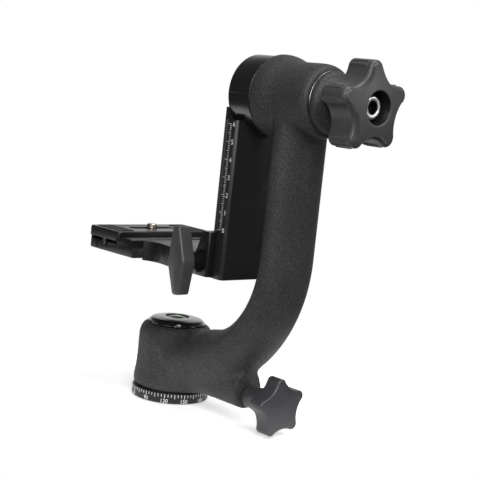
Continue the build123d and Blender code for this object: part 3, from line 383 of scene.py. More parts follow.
def bake_modifiers(piece):
    """Replaces the mesh by its evaluated form."""
    graph = bpy.context.evaluated_depsgraph_get()
    mesh = bpy.data.meshes.new_from_object(piece.evaluated_get(graph))
    piece.modifiers.clear()
    old = piece.data
    piece.data = mesh
    bpy.data.meshes.remove(old)


def cut(piece, cutter):
    """Cuts the cutter out of the piece exactly and removes the cutter."""
    step = piece.modifiers.new("cut", "BOOLEAN")
    step.object = cutter
    step.operation = "DIFFERENCE"
    step.solver = "EXACT"
    bake_modifiers(piece)
    bpy.data.objects.remove(cutter)


def ring_points(count):
    """Evenly spaced angles of a full turn, in radians."""
    return np.arange(count) * 2 * math.pi / count


def unit_circle(count):
    """Points of a circle of radius 1, as rows of (u, v)."""
    return np.stack([np.cos(ring_points(count)), np.sin(ring_points(count))], 1)


def quarter_round(radius, first, last, count):
    """(rise, inset) pairs along a rounded edge: 0 degrees is its side, 90 degrees its face."""
    for angle in np.linspace(first, last, count):
        bend = math.radians(angle)
        yield radius * math.sin(bend), radius * (1 - math.cos(bend))


def tube_faces(rows, count, closed=False):
    """Quads between consecutive rings of points, and from the last back to the first if closed."""
    faces = []
    for row in range(rows if closed else rows - 1):
        low, high = row * count, (row + 1) % rows * count
        for i in range(count):
            j = (i + 1) % count
            faces.append((low + i, low + j, high + j, high + i))
    return faces


def row_points(rows, place):
    """Points of all rows; a row's offset is one number, or one for each of its points."""
    points = []
    for along, loop in rows:
        spread = np.broadcast_to(along, len(loop))
        points.extend(place(a, u, v) for a, (u, v) in zip(spread, loop))
    return points


def skin(name, rows, place, material, sharp):
    """A ring-shaped solid skinned over rows of (offset along the axis, loop), closed onto itself."""
    faces = tube_faces(len(rows), len(rows[0][1]), closed=True)
    return mesh_piece(name, row_points(rows, place), faces, material, sharp)


def closed_skin(name, rows, place, material, sharp):
    """A solid skinned over rows of (offset along the axis, loop), capped at both ends."""
    count = len(rows[0][1])
    first_cap = tuple(range(count - 1, -1, -1))
    last_cap = tuple((len(rows) - 1) * count + i for i in range(count))
    faces = tube_faces(len(rows), count) + [first_cap, last_cap]
    return mesh_piece(name, row_points(rows, place), faces, material, sharp)


def about_x(height):
    """For a skin about an axis along X at a height: turns (along, across, up) into a point."""
    return lambda along, u, v: (along, u, height + v)


def about_z(along, u, v):
    """For a skin about the pan axis: turns (along, u, v) into a point."""
    return u, v, along


def second_look(piece, material, chosen):
    """Gives the faces whose centre, in millimetres, is chosen another material."""
    piece.data.materials.append(material)
    for face in piece.data.polygons:
        if chosen(*(c / MM for c in face.center)):
            face.material_index = 1


def finish_piece(piece, body, node):
    """Puts the piece on its body, in place of a CAD node if it stands for one."""
    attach(piece, body)
    if node:
        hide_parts(node)


# ---------------- J-arm casting
ARM_X = 89.0             # centre of the upright
BEND_Z = 99.9            # where the upright meets the bend
BEND_R = 71.2            # centreline radius of the bend
BEND_ANGLE = math.radians(72)
ARM_TOP = (10.0, 18.6)   # half thickness and half width at the top
ARM_LOW = (19.0, 21.0)   # the same at the low end
ARM_GROWS = 60           # travel along X over which the first becomes the second
END_RUN = 24             # straight run from the bend's end into the housing
LOCK_BOSS_Z = 20.0
LOCK_BOSS_R = 10.6
LOCK_FACE_X = 69.0
VOXEL = 1.0


def smooth_union(a, b, radius):
    """Union of two distance fields with a fillet of about the radius."""
    share = np.clip(0.5 + 0.5 * (b - a) / radius, 0, 1)
    return b * (1 - share) + a * share - radius * share * (1 - share)


def polygon_distance(px, py, outline):
    """Signed distance from points to a closed 2-D outline, negative inside."""
    nearest = np.full(px.shape, 1e9)
    inside = np.zeros(px.shape, bool)
    count = len(outline)
    for k in range(count):
        ax, ay = outline[k]
        bx, by = outline[(k + 1) % count]
        ex, ey = bx - ax, by - ay
        t = np.clip(((px - ax) * ex + (py - ay) * ey) / (ex * ex + ey * ey), 0, 1)
        nearest = np.minimum(nearest, (px - ax - t * ex) ** 2 + (py - ay - t * ey) ** 2)
        crosses = (ay > py) != (by > py)
        if ay != by:
            inside ^= crosses & (px < ax + (py - ay) * ex / ey)
    return np.where(inside, -1, 1) * np.sqrt(nearest)


def arm_distance(x, y, z):
    """Distance to the elliptical arm: a straight upright, a bend and a run into the housing."""
    bend_x = ARM_X - BEND_R
    dx, dz = x - bend_x, BEND_Z - z
    turn = np.clip(np.arctan2(dz, np.maximum(dx, 1e-6)), 0, BEND_ANGLE)
    across = np.hypot(dx, dz) - BEND_R
    upright = dz <= 0
    across = np.where(upright, x - ARM_X, across)
    end_x = bend_x + BEND_R * math.cos(BEND_ANGLE)
    end_z = BEND_Z - BEND_R * math.sin(BEND_ANGLE)
    along = -(x - end_x) * math.sin(BEND_ANGLE) - (z - end_z) * math.cos(BEND_ANGLE)
    tail = (along > 0) & ~upright
    tail_across = (x - end_x) * math.cos(BEND_ANGLE) - (z - end_z) * math.sin(BEND_ANGLE)
    across = np.where(tail, tail_across, across)
    station_x = np.where(upright, ARM_X, bend_x + BEND_R * np.cos(turn))
    share = np.clip((ARM_X - station_x) / ARM_GROWS, 0, 1)
    thick = ARM_TOP[0] + (ARM_LOW[0] - ARM_TOP[0]) * share
    tail_taper = 0.05
    thick = np.where(tail, thick - np.clip(along, 0, 20) * tail_taper, thick)
    wide = ARM_TOP[1] + (ARM_LOW[1] - ARM_TOP[1]) * share
    near = np.hypot(across / thick, y / wide)
    slope = np.hypot(across / thick ** 2, y / wide ** 2)
    ellipse = near * (near - 1) / np.maximum(slope, 1e-6)
    ends = np.maximum(z - TILT_Z, along - END_RUN)
    return np.maximum(ellipse, ends)


def surface_net(field, origin, step):
    """Quads around the zero level of a distance field sampled on a grid (naive surface nets)."""
    inside = field < 0
    corners = [(i, j, k) for i in (0, 1) for j in (0, 1) for k in (0, 1)]
    nx, ny, nz = (n - 1 for n in field.shape)

    def shifted(grid, corner):
        i, j, k = corner
        return grid[i:i + nx, j:j + ny, k:k + nz]

    total = sum(shifted(inside, c).astype(np.int8) for c in corners)
    cells = (total > 0) & (total < 8)
    where = np.argwhere(cells)
    number = np.full(cells.shape, -1, np.int64)
    number[cells] = np.arange(len(where))
    crossing = np.zeros((len(where), 3))
    count = np.zeros(len(where))
    for a in corners:
        for axis in range(3):
            if a[axis]:
                continue
            b = tuple(v + (n == axis) for n, v in enumerate(a))
            va = shifted(field, a)[cells]
            vb = shifted(field, b)[cells]
            flips = (va < 0) != (vb < 0)
            t = np.where(flips, va / np.where(flips, va - vb, 1), 0)
            spot = np.tile(np.array(a, float), (len(where), 1))
            spot[:, axis] += t
            crossing[flips] += spot[flips]
            count[flips] += 1
    points = (where + crossing / count[:, None]) * step + np.array(origin)
    faces = []
    for axis in range(3):
        u, v = (axis + 1) % 3, (axis + 2) % 3
        lower = [slice(None)] * 3
        upper = [slice(None)] * 3
        lower[axis] = slice(0, -1)
        upper[axis] = slice(1, None)
        flips = inside[tuple(lower)] != inside[tuple(upper)]
        edge = np.argwhere(flips)
        edge = edge[(edge[:, u] > 0) & (edge[:, u] < cells.shape[u])]
        edge = edge[(edge[:, v] > 0) & (edge[:, v] < cells.shape[v])]
        first = inside[tuple(edge.T)]
        quad = []
        for du, dv in ((1, 1), (0, 1), (0, 0), (1, 0)):
            spot = edge.copy()
            spot[:, u] -= du
            spot[:, v] -= dv
            quad.append(number[tuple(spot.T)])
        quad = np.stack(quad, 1)
        quad[~first] = quad[~first][:, ::-1]
        faces.append(quad)
    return points, np.concatenate(faces)


def housing_outline():
    """Half section of the pan housing, as (radius, height): a slightly flared wall and a round shoulder."""
    low, top = HOUSING_Z0, HOUSING_TOP
    wall_r, shoulder_z, shrink = 22.2, 37, 4.2
    wall = [(0, low), (22.3, low), (22.9, low + 0.5), (23.25, low + 3.4), (23.1, low + 6), (22.5, low + 10.5),
            (wall_r, low + 17)]
    shoulder = [(wall_r - shrink * (1 - math.cos(a)), shoulder_z + (top - shoulder_z) * math.sin(a))
                for a in np.linspace(0, 1.45, 7)]
    return wall + shoulder + [(17.6, top), (0, top), (-5, top), (-5, low)]


def boss_outline():
    """Half section of the tilt boss, as (x, radius): a wide flange, a waist and a rounded outer end."""
    from_flange = [(0, -5), (0, 22.6), (0.5, 23.3), (1.4, 23.6), (5, 23.55), (8, 23.0), (10.5, 22.2),
                   (13, 21.3), (16, 20.65), (19, 20.4), (27, 20.5)]
    from_end = [(6.5, 20.5), (3.8, 20.2), (1.6, 19.5), (0.3, 18.4), (0, 17.4), (0, -5)]
    outline = [(BOSS_X0 + run, radius) for run, radius in from_flange]
    outline += [(BOSS_X1 - run, radius) for run, radius in from_end]
    return outline


def j_arm_field(x, y, z):
    """The whole casting without its bores: arm, pan housing, tilt boss and lock boss, blended."""
    top_r, top_zone_z = 19.5, 30
    away = np.hypot(x, y)
    body = smooth_union(arm_distance(x, y, z), polygon_distance(away, z, housing_outline()), 9.0)
    lock_boss = np.maximum(np.hypot(y, z - LOCK_BOSS_Z) - LOCK_BOSS_R, x - LOCK_FACE_X)
    lock_boss = np.maximum(lock_boss, -x)
    body = smooth_union(body, lock_boss, 6.0)
    body = np.maximum(body, HOUSING_Z0 - z)
    flat_top = (away < top_r) & (z > top_zone_z)
    body = np.where(flat_top, np.maximum(body, z - HOUSING_TOP), body)
    tilt_boss = polygon_distance(x, np.hypot(y, z - TILT_Z), boss_outline())
    body = smooth_union(body, tilt_boss, 3.5)
    # the boss's flange is flat towards the swing arm
    return np.where(z > TILT_Z - 30, np.maximum(body, BOSS_X0 - x), body)


def bore(name, steps, place, count):
    """A stepped cutter; steps are its corners, as (offset along the axis, radius)."""
    centre_line = 0.01
    corners = [(steps[0][0], centre_line), *steps, (steps[-1][0], centre_line)]
    circle = unit_circle(count)
    return skin(name, [(along, circle * radius) for along, radius in corners], place, COAT, 35)


def build_j_arm():
    """The casting as one mesh over its distance field, with the bores cut for bearings and lock screw."""
    low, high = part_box("j_arm")
    start = np.floor(np.array(low) / MM) - 3
    stop = np.ceil(np.array(high) / MM) + 3
    axes = [np.arange(a, b + VOXEL, VOXEL) for a, b in zip(start, stop)]
    x, y, z = np.meshgrid(*axes, indexing="ij")
    points, faces = surface_net(j_arm_field(x, y, z), start, VOXEL)
    piece = mesh_piece("j_arm_casting", points, faces, COAT)
    past = 5                 # how far a cutter runs past the face that it opens
    fit = 0.03
    bearing_r = span("pan_bearing_lower", 0)[1] + fit
    spindle_r = 10.5
    low_top = span("pan_bearing_lower", 2)[1] + 0.1
    high_z = span("pan_bearing_upper", 2)[0] - 0.1
    pan_steps = [(HOUSING_Z0 - past, bearing_r), (low_top, bearing_r), (low_top, spindle_r),
                 (high_z, spindle_r), (high_z, bearing_r + 1), (HOUSING_TOP + past, bearing_r + 1)]
    cut(piece, bore("pan_bore", pan_steps, about_z, 96))
    tilt_r = span("tilt_bearing_inner", 1)[1]
    shaft_r = 10
    inner_end = span("tilt_bearing_inner", 0)[1]
    outer_start = span("tilt_bearing_outer", 0)[0] - 0.1
    tilt_steps = [(BOSS_X0 - past, tilt_r), (inner_end, tilt_r), (inner_end, shaft_r), (outer_start, shaft_r),
                  (outer_start, tilt_r), (BOSS_X1 + past, tilt_r)]
    cut(piece, bore("tilt_bore", tilt_steps, about_x(TILT_Z), 96))
    screw_r = span("pan_lock_screw", 1)[1] + fit
    in_spindle = 8
    lock_steps = [(in_spindle, screw_r), (LOCK_FACE_X + past, screw_r)]
    cut(piece, bore("lock_bore", lock_steps, about_x(LOCK_Z), 48))
    tidy_mesh(piece, 40)
    finish_piece(piece, "arm", "j_arm")


build_j_arm()


# ---------------- moulded star knobs
LOBES = 5


def star_outline(tip, nose, waist, turn, count):
    """Points of a lobed outline: nose circles joined by the hollow circles that touch them."""
    reach = tip - nose
    half = math.pi / LOBES
    far = (reach ** 2 - (nose - waist) ** 2) / (2 * (reach * math.cos(half) + nose - waist))
    touch = math.atan2(far * math.sin(half), far * math.cos(half) - reach)
    hollow_r = far - waist
    dense = []
    for lobe in range(LOBES):
        axis = math.radians(turn) + 2 * half * lobe
        for a in np.linspace(-touch, touch, 60):
            dense.append((reach * math.cos(axis) + nose * math.cos(axis + a),
                          reach * math.sin(axis) + nose * math.sin(axis + a)))
        hollow = axis + half
        for a in np.linspace(touch - half, half - touch, 60)[1:-1]:
            dense.append((far * math.cos(hollow) - hollow_r * math.cos(hollow + a),
                          far * math.sin(hollow) - hollow_r * math.sin(hollow + a)))
    return even_loop(np.array(dense), count)


def loop_length(points):
    """Length of a closed loop."""
    return np.linalg.norm(np.roll(points, -1, axis=0) - points, axis=1).sum()


def even_loop(points, count):
    """The closed loop resampled to evenly spaced points."""
    closed = np.vstack([points, points[:1]])
    run = np.concatenate([[0], np.cumsum(np.linalg.norm(np.diff(closed, axis=0), axis=1))])
    goal = np.arange(count) * run[-1] / count
    return np.stack([np.interp(goal, run, closed[:, n]) for n in (0, 1)], 1)


def outward(points):
    """Outward normals of a closed loop that runs anticlockwise."""
    along = np.roll(points, -1, axis=0) - np.roll(points, 1, axis=0)
    along /= np.linalg.norm(along, axis=1)[:, None]
    return np.stack([along[:, 1], -along[:, 0]], 1)


def circle_like(loop, radius):
    """A circle whose points lie at the same angles as those of the loop."""
    return loop / np.hypot(*loop.T)[:, None] * radius


def rib_height(loop, turn, centres, width):
    """Height, 0 to 1, of the grip ribs: each lobe has one at each centre, in degrees from its own axis."""
    run = np.degrees(np.arctan2(loop[:, 1], loop[:, 0]))
    high = np.zeros(len(loop))
    for lobe in range(LOBES):
        for centre in centres:
            off = (run - (turn + 360 / LOBES * lobe + centre) + 180) % 360 - 180
            high = np.maximum(high, np.clip(1 - np.abs(off) / width, 0, 1))
    return np.sin(high * math.pi / 2) ** 2


def build_tilt_knob():
    """Large knob: hub, ribbed lobes, domed face and a well for the bolt, whose inside is painted dark as
    shade.
    """
    x_back, x_front, dome, tip, recess_r = 124.0, 141.2, 3.3, 24.8, 8.9
    nose, waist, turn = 5.0, 16.6, 94.0
    hub_r, fillet, edge, lip = 10.6, 2.0, 1.9, 0.9
    rib_rise, rib_ramp = 0.6, 0.8
    loop = star_outline(tip, nose, waist, turn, 960)
    out = outward(loop)
    floor_x = span("tilt_knob_insert", 0)[1]
    insert_r = span("tilt_knob_insert", 1)[1]
    start_x = span("tilt_knob", 0)[0]
    ribs = rib_height(loop, turn, (-11.5, -7.0, 7.0, 11.5), 2.0)
    rows = [(start_x, circle_like(loop, insert_r)), (start_x, circle_like(loop, hub_r - 0.7)),
            (start_x + 0.5, circle_like(loop, hub_r - 0.1)), (x_back - fillet, circle_like(loop, hub_r))]
    for rise, inset in quarter_round(fillet, 30, 90, 3):
        rows.append((x_back - fillet + rise, circle_like(loop, hub_r + inset)))
    for inset, along in ((1.3, 0.0), (0.7, 0.15), (0.25, 0.5), (0.0, 1.0)):
        rows.append((x_back + along, loop - out * inset))
    rib_start, rib_end = x_back + 1.6, x_front - 3.6
    for along in np.linspace(x_back + 1.4, x_front - 1.6, 28):
        ramp = np.clip((along - rib_start) / rib_ramp, 0, 1) * np.clip((rib_end - along) / rib_ramp, 0, 1)
        rows.append((along, loop + out * (ribs * ramp * rib_rise)[:, None]))
    for rise, inset in quarter_round(edge, 10, 80, 6):
        rows.append((x_front - edge + rise, loop - out * inset))
    rim = loop - out * (edge + 0.05)
    mouth = circle_like(loop, recess_r + lip)
    for t in np.linspace(0.0, 1.0, 16):
        ring = rim * (1 - t) + mouth * t
        crown = dome * np.clip(1 - (np.hypot(*ring.T) / tip) ** 2, 0, 1)
        rows.append((x_front + 0.02 + crown, ring))
    front = x_front + dome * (1 - (recess_r / tip) ** 2)
    for rise, inset in quarter_round(lip, 30, 90, 3):
        rows.append((front - inset, circle_like(loop, recess_r + lip - rise)))
    rows += [(floor_x + 0.4, circle_like(loop, recess_r)), (floor_x, circle_like(loop, recess_r - 0.4)),
             (floor_x, circle_like(loop, insert_r))]
    piece = skin("tilt_knob_moulding", rows, about_x(TILT_Z), KNOB, 50)
    well_r, well_x = recess_r + 0.25, floor_x - 0.1
    # Faces inside the bolt's well get the near-black material: painted shade, the well's nylon is no darker.
    second_look(piece, WELL_PAINTED_SHADE, lambda x, y, z: math.hypot(y, z - TILT_Z) < well_r and x > well_x)
    finish_piece(piece, "tilt_lock", "tilt_knob")


def build_pan_knob():
    """Small knob: a neck that widens to the lobes, and a flat face with a crisp edge."""
    x_back, x_front, tip, nose, waist, turn = 88.6, 98.6, 17.1, 3.2, 12.4, 98.0
    loop = star_outline(tip, nose, waist, turn, 720)
    out = outward(loop)
    x0, x1 = span("pan_knob_insert", 0)
    bore_r = span("pan_knob_insert", 1)[1]
    neck = [(0.3, 5.9), (1.2, 6.1), (5.0, 6.2), (8.0, 6.8), (11.5, 7.8), (15.5, 9.0)]
    rows = [(x1, circle_like(loop, bore_r)), (x0, circle_like(loop, bore_r)),
            (x0, circle_like(loop, bore_r + 0.2))]
    rows += [(x0 + along, circle_like(loop, radius)) for along, radius in neck]
    rows += [(x_back - 0.6, circle_like(loop, 9.9)), (x_back, circle_like(loop, 10.1))]
    for inset, along in ((0.9, 0.0), (0.45, 0.12), (0.12, 0.4), (0.0, 0.8)):
        rows.append((x_back + along, loop - out * inset))
    for inset, along in ((0.0, 0.85), (0.04, 0.75), (0.62, 0.18), (0.76, 0.08)):
        rows.append((x_front - along, loop - out * inset))
    rim = loop - out * 0.85
    for t in (0.0, 0.12, 0.3, 0.5, 0.7, 0.85, 0.95, 0.99):
        rows.append((x_front - 0.06 + 0.06 * t, rim * (1 - t)))
    piece = closed_skin("pan_knob_moulding", rows, about_x(LOCK_Z), PAN_KNOB_SHADED, 40)
    finish_piece(piece, "pan_lock", "pan_knob")


def wing_outline():
    """Softened and slightly leaning diamond of the wing knob."""
    corners = [(-2.6, 19.8), (2.6, 19.8), (5.6, 7.0), (7.2, 0), (5.4, -7.0), (2.4, -18.4),
               (-2.4, -18.4), (-5.4, -7.0), (-7.2, 0), (-5.6, 7.0)]
    loop = even_loop(np.array(corners[::-1], float), 1200)
    step = loop_length(loop) / len(loop)
    soften, regrow = 1.0, 1.02
    reach = int(3 * soften / step)
    weight = np.exp(-0.5 * (np.arange(-reach, reach + 1) * step / soften) ** 2)
    weight /= weight.sum()
    loop = sum(w * np.roll(loop, k, axis=0) for k, w in zip(range(-reach, reach + 1), weight))
    loop = even_loop(loop * regrow, 480)
    lean = math.radians(6)
    return loop @ np.array([[math.cos(lean), math.sin(lean)], [-math.sin(lean), math.cos(lean)]])


def build_wing_knob():
    """Wing knob: a diamond with rounded edges and a crowned face on a round hub, painted dark as shade."""
    loop = wing_outline()
    out = outward(loop)
    centre_x, centre_z = middle("wing_screw", 0), middle("wing_screw", 2)
    bore_r = span("wing_screw", 2)[1] - centre_z
    hub_y = span("wing_knob", 1)[1]
    bore_end = span("wing_screw", 1)[0]
    y_back, y_front, edge, crown = -34.0, -43.5, 1.7, 0.5
    hub_r, foot_r = 6.3, 6.9
    rows = [(bore_end, circle_like(loop, bore_r)), (hub_y, circle_like(loop, bore_r)),
            (hub_y, circle_like(loop, hub_r - 0.4)), (hub_y - 0.4, circle_like(loop, hub_r)),
            (y_back + 1.2, circle_like(loop, hub_r)), (y_back + 0.4, circle_like(loop, hub_r + 0.2)),
            (y_back, circle_like(loop, foot_r)), (y_back, (circle_like(loop, foot_r) + loop - out * 0.9) / 2)]
    for inset, along in ((0.9, 0.0), (0.45, 0.1), (0.12, 0.4), (0.0, 0.9)):
        rows.append((y_back - along, loop - out * inset))
    face_y = y_front + crown
    for rise, inset in quarter_round(edge, 0, 80, 7):
        rows.append((face_y + edge - rise, loop - out * inset))
    rim = loop - out * (edge + 0.03)
    for t in (0.0, 0.1, 0.25, 0.45, 0.65, 0.82, 0.94, 0.99):
        rows.append((face_y - crown * (1 - (1 - t) ** 2), rim * (1 - t)))

    def place(along, u, v):
        return centre_x + u, along, centre_z + v

    piece = closed_skin("wing_knob_moulding", rows, place, KNOB, 45)
    # The hub's faces behind the wing get the near-black material: painted shade, not a darker part.
    second_look(piece, WELL_PAINTED_SHADE, lambda x, y, z: y > y_back + 0.1)
    finish_piece(piece, "wing", "wing_knob")


build_tilt_knob()
build_pan_knob()
build_wing_knob()


# ---------------- turned pieces
def build_tilt_bolt():
    """Socket head screw: rounded chrome rim, chamfered hex socket whose inside is painted dark as shade."""
    circle = unit_circle(240)
    x0, x1 = span("tilt_bolt", 0)
    head_r = span("tilt_bolt", 1)[1]
    head_x = span("tilt_bolt_washer", 0)[1]
    shank_r, rim, mouth, socket, depth = 4.0, 1.3, 3.7, 3.5, 4.2
    rows = [(x0, circle * (shank_r - 0.5)), (x0 + 0.5, circle * shank_r), (head_x, circle * shank_r),
            (head_x, circle * (head_r - 0.3)), (head_x + 0.3, circle * head_r), (x1 - rim, circle * head_r)]
    for rise, inset in quarter_round(rim, 10, 90, 9):
        rows.append((x1 - rim + rise, circle * (head_r - inset)))
    sixth = math.pi / 3
    swing = (ring_points(240) + sixth / 2) % sixth - sixth / 2
    hexagon = circle * (socket * math.cos(sixth / 2) / np.cos(swing))[:, None]
    rows += [(x1, circle * (mouth + 0.25)), (x1 - 0.1, circle * mouth), (x1 - 0.35, hexagon),
             (x1 - depth, hexagon), (x1 - depth - 0.8, circle * 0.4)]
    piece = closed_skin("tilt_bolt_chromed", rows, about_x(TILT_Z), CHROME, 30)
    # Faces inside the socket's mouth get the near-black steel: painted shade.
    second_look(piece, SOCKET_PAINTED_SHADE, lambda x, y, z: math.hypot(y, z - TILT_Z) < mouth and x > x1 - depth - 1)
    finish_piece(piece, "swing", "tilt_bolt")


LEVEL_R = 5.0            # seat of the bubble level in the cap's well
SILL = 0.7               # depth of the well


def build_level_cap():
    """Turned cap with a rolled rim and a shallow well for the bubble level."""
    circle = unit_circle(240)
    low, top = span("level_cap", 2)
    cap_r = span("level_cap", 0)[1]
    plug_r, well_r, bead, shoulder, crown = 8, 7.3, 0.85, 2.6, 0.8
    base = HOUSING_TOP
    rows = [(low, circle * plug_r), (base - 0.2, circle * plug_r), (base - 0.2, circle * (cap_r - 0.8))]
    for rise, inset in quarter_round(bead, -80, 80, 11):
        rows.append((base + bead + rise, circle * (cap_r - inset)))
    rows.append((base + 2 * bead, circle * (cap_r - 1.15)))
    shoulder_z = top - crown - shoulder
    for rise, inset in quarter_round(shoulder, 0, 82, 12):
        rows.append((shoulder_z + rise, circle * (cap_r - 0.9 - inset)))
    for share in np.linspace(0.15, 1, 6):
        radius = (cap_r - 3.2) * (1 - share) + (well_r + 0.3) * share
        rows.append((top - crown * (1 - share) ** 2, circle * radius))
    rows += [(top - 0.1, circle * (well_r + 0.08)), (top - 0.3, circle * well_r),
             (top - SILL, circle * well_r), (top - SILL, circle * LEVEL_R),
             (low + 0.8, circle * LEVEL_R), (low + 0.8, circle * 0.5)]
    piece = closed_skin("level_cap_turned", rows, about_z, GLOSS, 35)
    finish_piece(piece, "arm", "level_cap")


def build_level():
    """Bubble level in the cap's well: a pale ring round a domed lens."""
    circle = unit_circle(240)
    sill_z = span("level_cap", 2)[1] - SILL
    outside = [(-0.6, LEVEL_R), (0.05, LEVEL_R + 0.5), (0.3, LEVEL_R + 0.4)]
    inside = [(0.3, LEVEL_R - 0.5), (0.05, LEVEL_R - 0.6), (-0.6, LEVEL_R - 0.6)]
    rows = [(sill_z + rise, circle * radius) for rise, radius in outside + inside]
    piece = skin("level_ring_turned", rows, about_z, PALE_RING, 35)
    finish_piece(piece, "arm", "level_ring")
    lens_r, lens_z, dome = 4.3, sill_z + 0.1, 1.0
    rows = [(sill_z - 0.6, circle * lens_r), (lens_z, circle * lens_r)]
    for angle in np.linspace(70, 5, 8):
        bend = math.radians(angle)
        radius = lens_r * math.sin(bend) / math.sin(math.radians(72))
        rows.append((lens_z + dome * math.cos(bend), circle * radius))
    piece = closed_skin("level_vial_lens", rows, about_z, VIAL, 35)
    finish_piece(piece, "arm", "level_vial")


def build_swing_hub():
    """Hub behind the swing arm's head; it also wraps the head's rim, so that no joint shows."""
    circle = unit_circle(360)
    x0, x1 = span("swing_hub", 0)
    outer, bore_r, edge, wrap = HEAD_R + 0.02, 8.0, 0.5, 8.3
    back = x0 - wrap
    rows = [(x0 - 0.2, circle * bore_r), (x0 - 0.2, circle * (outer - 2)), (back, circle * (outer - 2)),
            (back, circle * (outer - 0.1)), (back + 0.1, circle * outer)]
    for rise, inset in quarter_round(edge, 0, 90, 6):
        rows.append((x1 - edge + rise, circle * (outer - inset)))
    rows.append((x1, circle * bore_r))
    piece = skin("swing_hub_turned", rows, about_x(TILT_Z), ANODISED, 35)
    finish_piece(piece, "swing", "swing_hub")


build_tilt_bolt()
build_level_cap()
build_level()
build_swing_hub()


# ---------------- machined pieces with rounded edges
def rounded_copy(node, body, material, width):
    """The CAD node's own faces with their edges rounded over."""
    mesh = nodes[node].data.copy()
    piece = add_object(node + "_finished", mesh)
    work = bmesh.new()
    work.from_mesh(mesh)
    bmesh.ops.remove_doubles(work, verts=work.verts, dist=0.004 * MM)
    bmesh.ops.dissolve_limit(work, angle_limit=math.radians(1.0), verts=work.verts, edges=work.edges)
    work.to_mesh(mesh)
    work.free()
    mesh.materials.clear()
    mesh.materials.append(material)
    bevel = piece.modifiers.new("round", "BEVEL")
    bevel.width = width * MM
    bevel.segments = 3
    bevel.limit_method = "ANGLE"
    bevel.angle_limit = math.radians(28)
    bake_modifiers(piece)
    tidy_mesh(piece, 35)
    finish_piece(piece, body, node)


rounded_copy("platform_bracket", "platform", BRACKET, 0.45)
rounded_copy("clamp_jaw", "jaw", BRACKET, 0.45)
rounded_copy("qr_jaw", "release_jaw", BRACKET, 0.4)
rounded_copy("camera_plate", "plate", PLATE, 0.4)
rounded_copy("swing_arm", "swing", ARM_BLACK, 0.3)


# ---------------- printed scales
INK_RAISE = 0.05         # how far a mark stands out of the surface
INK_SINK = 0.1           # and how far it reaches in


def text_mesh(word, height):
    """A centred word of a height in millimetres, as (points, polygons)."""
    curve = bpy.data.curves.new("word", "FONT")
    curve.body = word
    curve.align_x = "CENTER"
    curve.align_y = "CENTER"
    curve.resolution_u = 4
    curve.extrude = 0.5
    carrier = add_object("word", curve)
    graph = bpy.context.evaluated_depsgraph_get()
    mesh = bpy.data.meshes.new_from_object(carrier.evaluated_get(graph))
    bpy.data.objects.remove(carrier)
    bpy.data.curves.remove(curve)
    work = bmesh.new()
    work.from_mesh(mesh)
    bmesh.ops.remove_doubles(work, verts=work.verts, dist=1e-5)
    work.to_mesh(mesh)
    work.free()
    points = np.array([v.co for v in mesh.vertices])
    faces = [tuple(p.vertices) for p in mesh.polygons]
    bpy.data.meshes.remove(mesh)
    tall = points[:, 1].max() - points[:, 1].min()
    points[:, :2] -= (points[:, :2].max(0) + points[:, :2].min(0)) / 2
    points[:, :2] *= height / tall
    points[:, 2] = np.sign(points[:, 2])
    return points, faces


def bar_mesh(x0, x1, y0, y1):
    """A flat bar as (points, polygons); the third coordinate is -1 at its back and 1 at its front."""
    corners = ((x0, y0), (x1, y0), (x1, y1), (x0, y1))
    points = np.array([(x, y, side) for side in (-1, 1) for x, y in corners], float)
    faces = [(3, 2, 1, 0), (4, 5, 6, 7), (0, 1, 5, 4), (1, 2, 6, 5), (2, 3, 7, 6), (3, 0, 4, 7)]
    return points, faces


def print_piece(name, parts, place, body):
    """One piece from many flat marks; place turns (x, y, side) into a point of the surface."""
    points, faces = [], []
    for marks, polygons in parts:
        start = len(points)
        points.extend(place(*p) for p in marks)
        faces.extend(tuple(start + i for i in f) for f in polygons)
    piece = mesh_piece(name, points, faces, INK)
    piece.data.polygons.foreach_set("use_smooth", [False] * len(piece.data.polygons))
    finish_piece(piece, body, None)


def build_height_scale():
    """Centimetre scale on the -Y edge of the swing arm, numbered 0 to 6."""
    zero_z, tick_x, number_x, centimetres, half_line = 111.8, 55.7, 57.5, 6, 0.11
    parts = []
    for step in range(10 * centimetres + 1):
        long = 2.9 if step % 10 == 0 else 2.1 if step % 5 == 0 else 1.3
        z = zero_z + step
        parts.append(bar_mesh(tick_x - long, tick_x, z - half_line, z + half_line))
    for number in range(centimetres + 1):
        marks, faces = text_mesh(str(number), 2.7)
        parts.append((marks + np.array((number_x, zero_z + 10 * number, 0)), faces))

    def place(x, z, side):
        return x, -PLATE_Y + (-INK_RAISE if side > 0 else INK_SINK), z

    print_piece("swing_scale_print", parts, place, "swing")


def build_degree_scale():
    """Degree marks round the base ring, with a number every thirty degrees."""
    tick_top, number_z, half_line = 5.85, 1.75, 0.16
    parts = []
    for degree in range(0, 360, 5):
        low = 3.3 if degree % 15 == 0 else 4.1
        along = math.radians(degree) * RING_R
        parts.append(bar_mesh(along - half_line, along + half_line, low, tick_top))
    for degree in range(0, 360, 30):
        marks, faces = text_mesh(str(degree), 2.3)
        parts.append((marks + np.array((math.radians(degree) * RING_R, number_z, 0)), faces))
    zero_angle = math.radians(-167.3)

    def place(along, z, side):
        angle = zero_angle + along / RING_R
        radius = RING_R + (INK_RAISE if side > 0 else -INK_SINK)
        return radius * math.cos(angle), radius * math.sin(angle), z

    print_piece("ring_scale_print", parts, place, "base")


build_height_scale()
build_degree_scale()


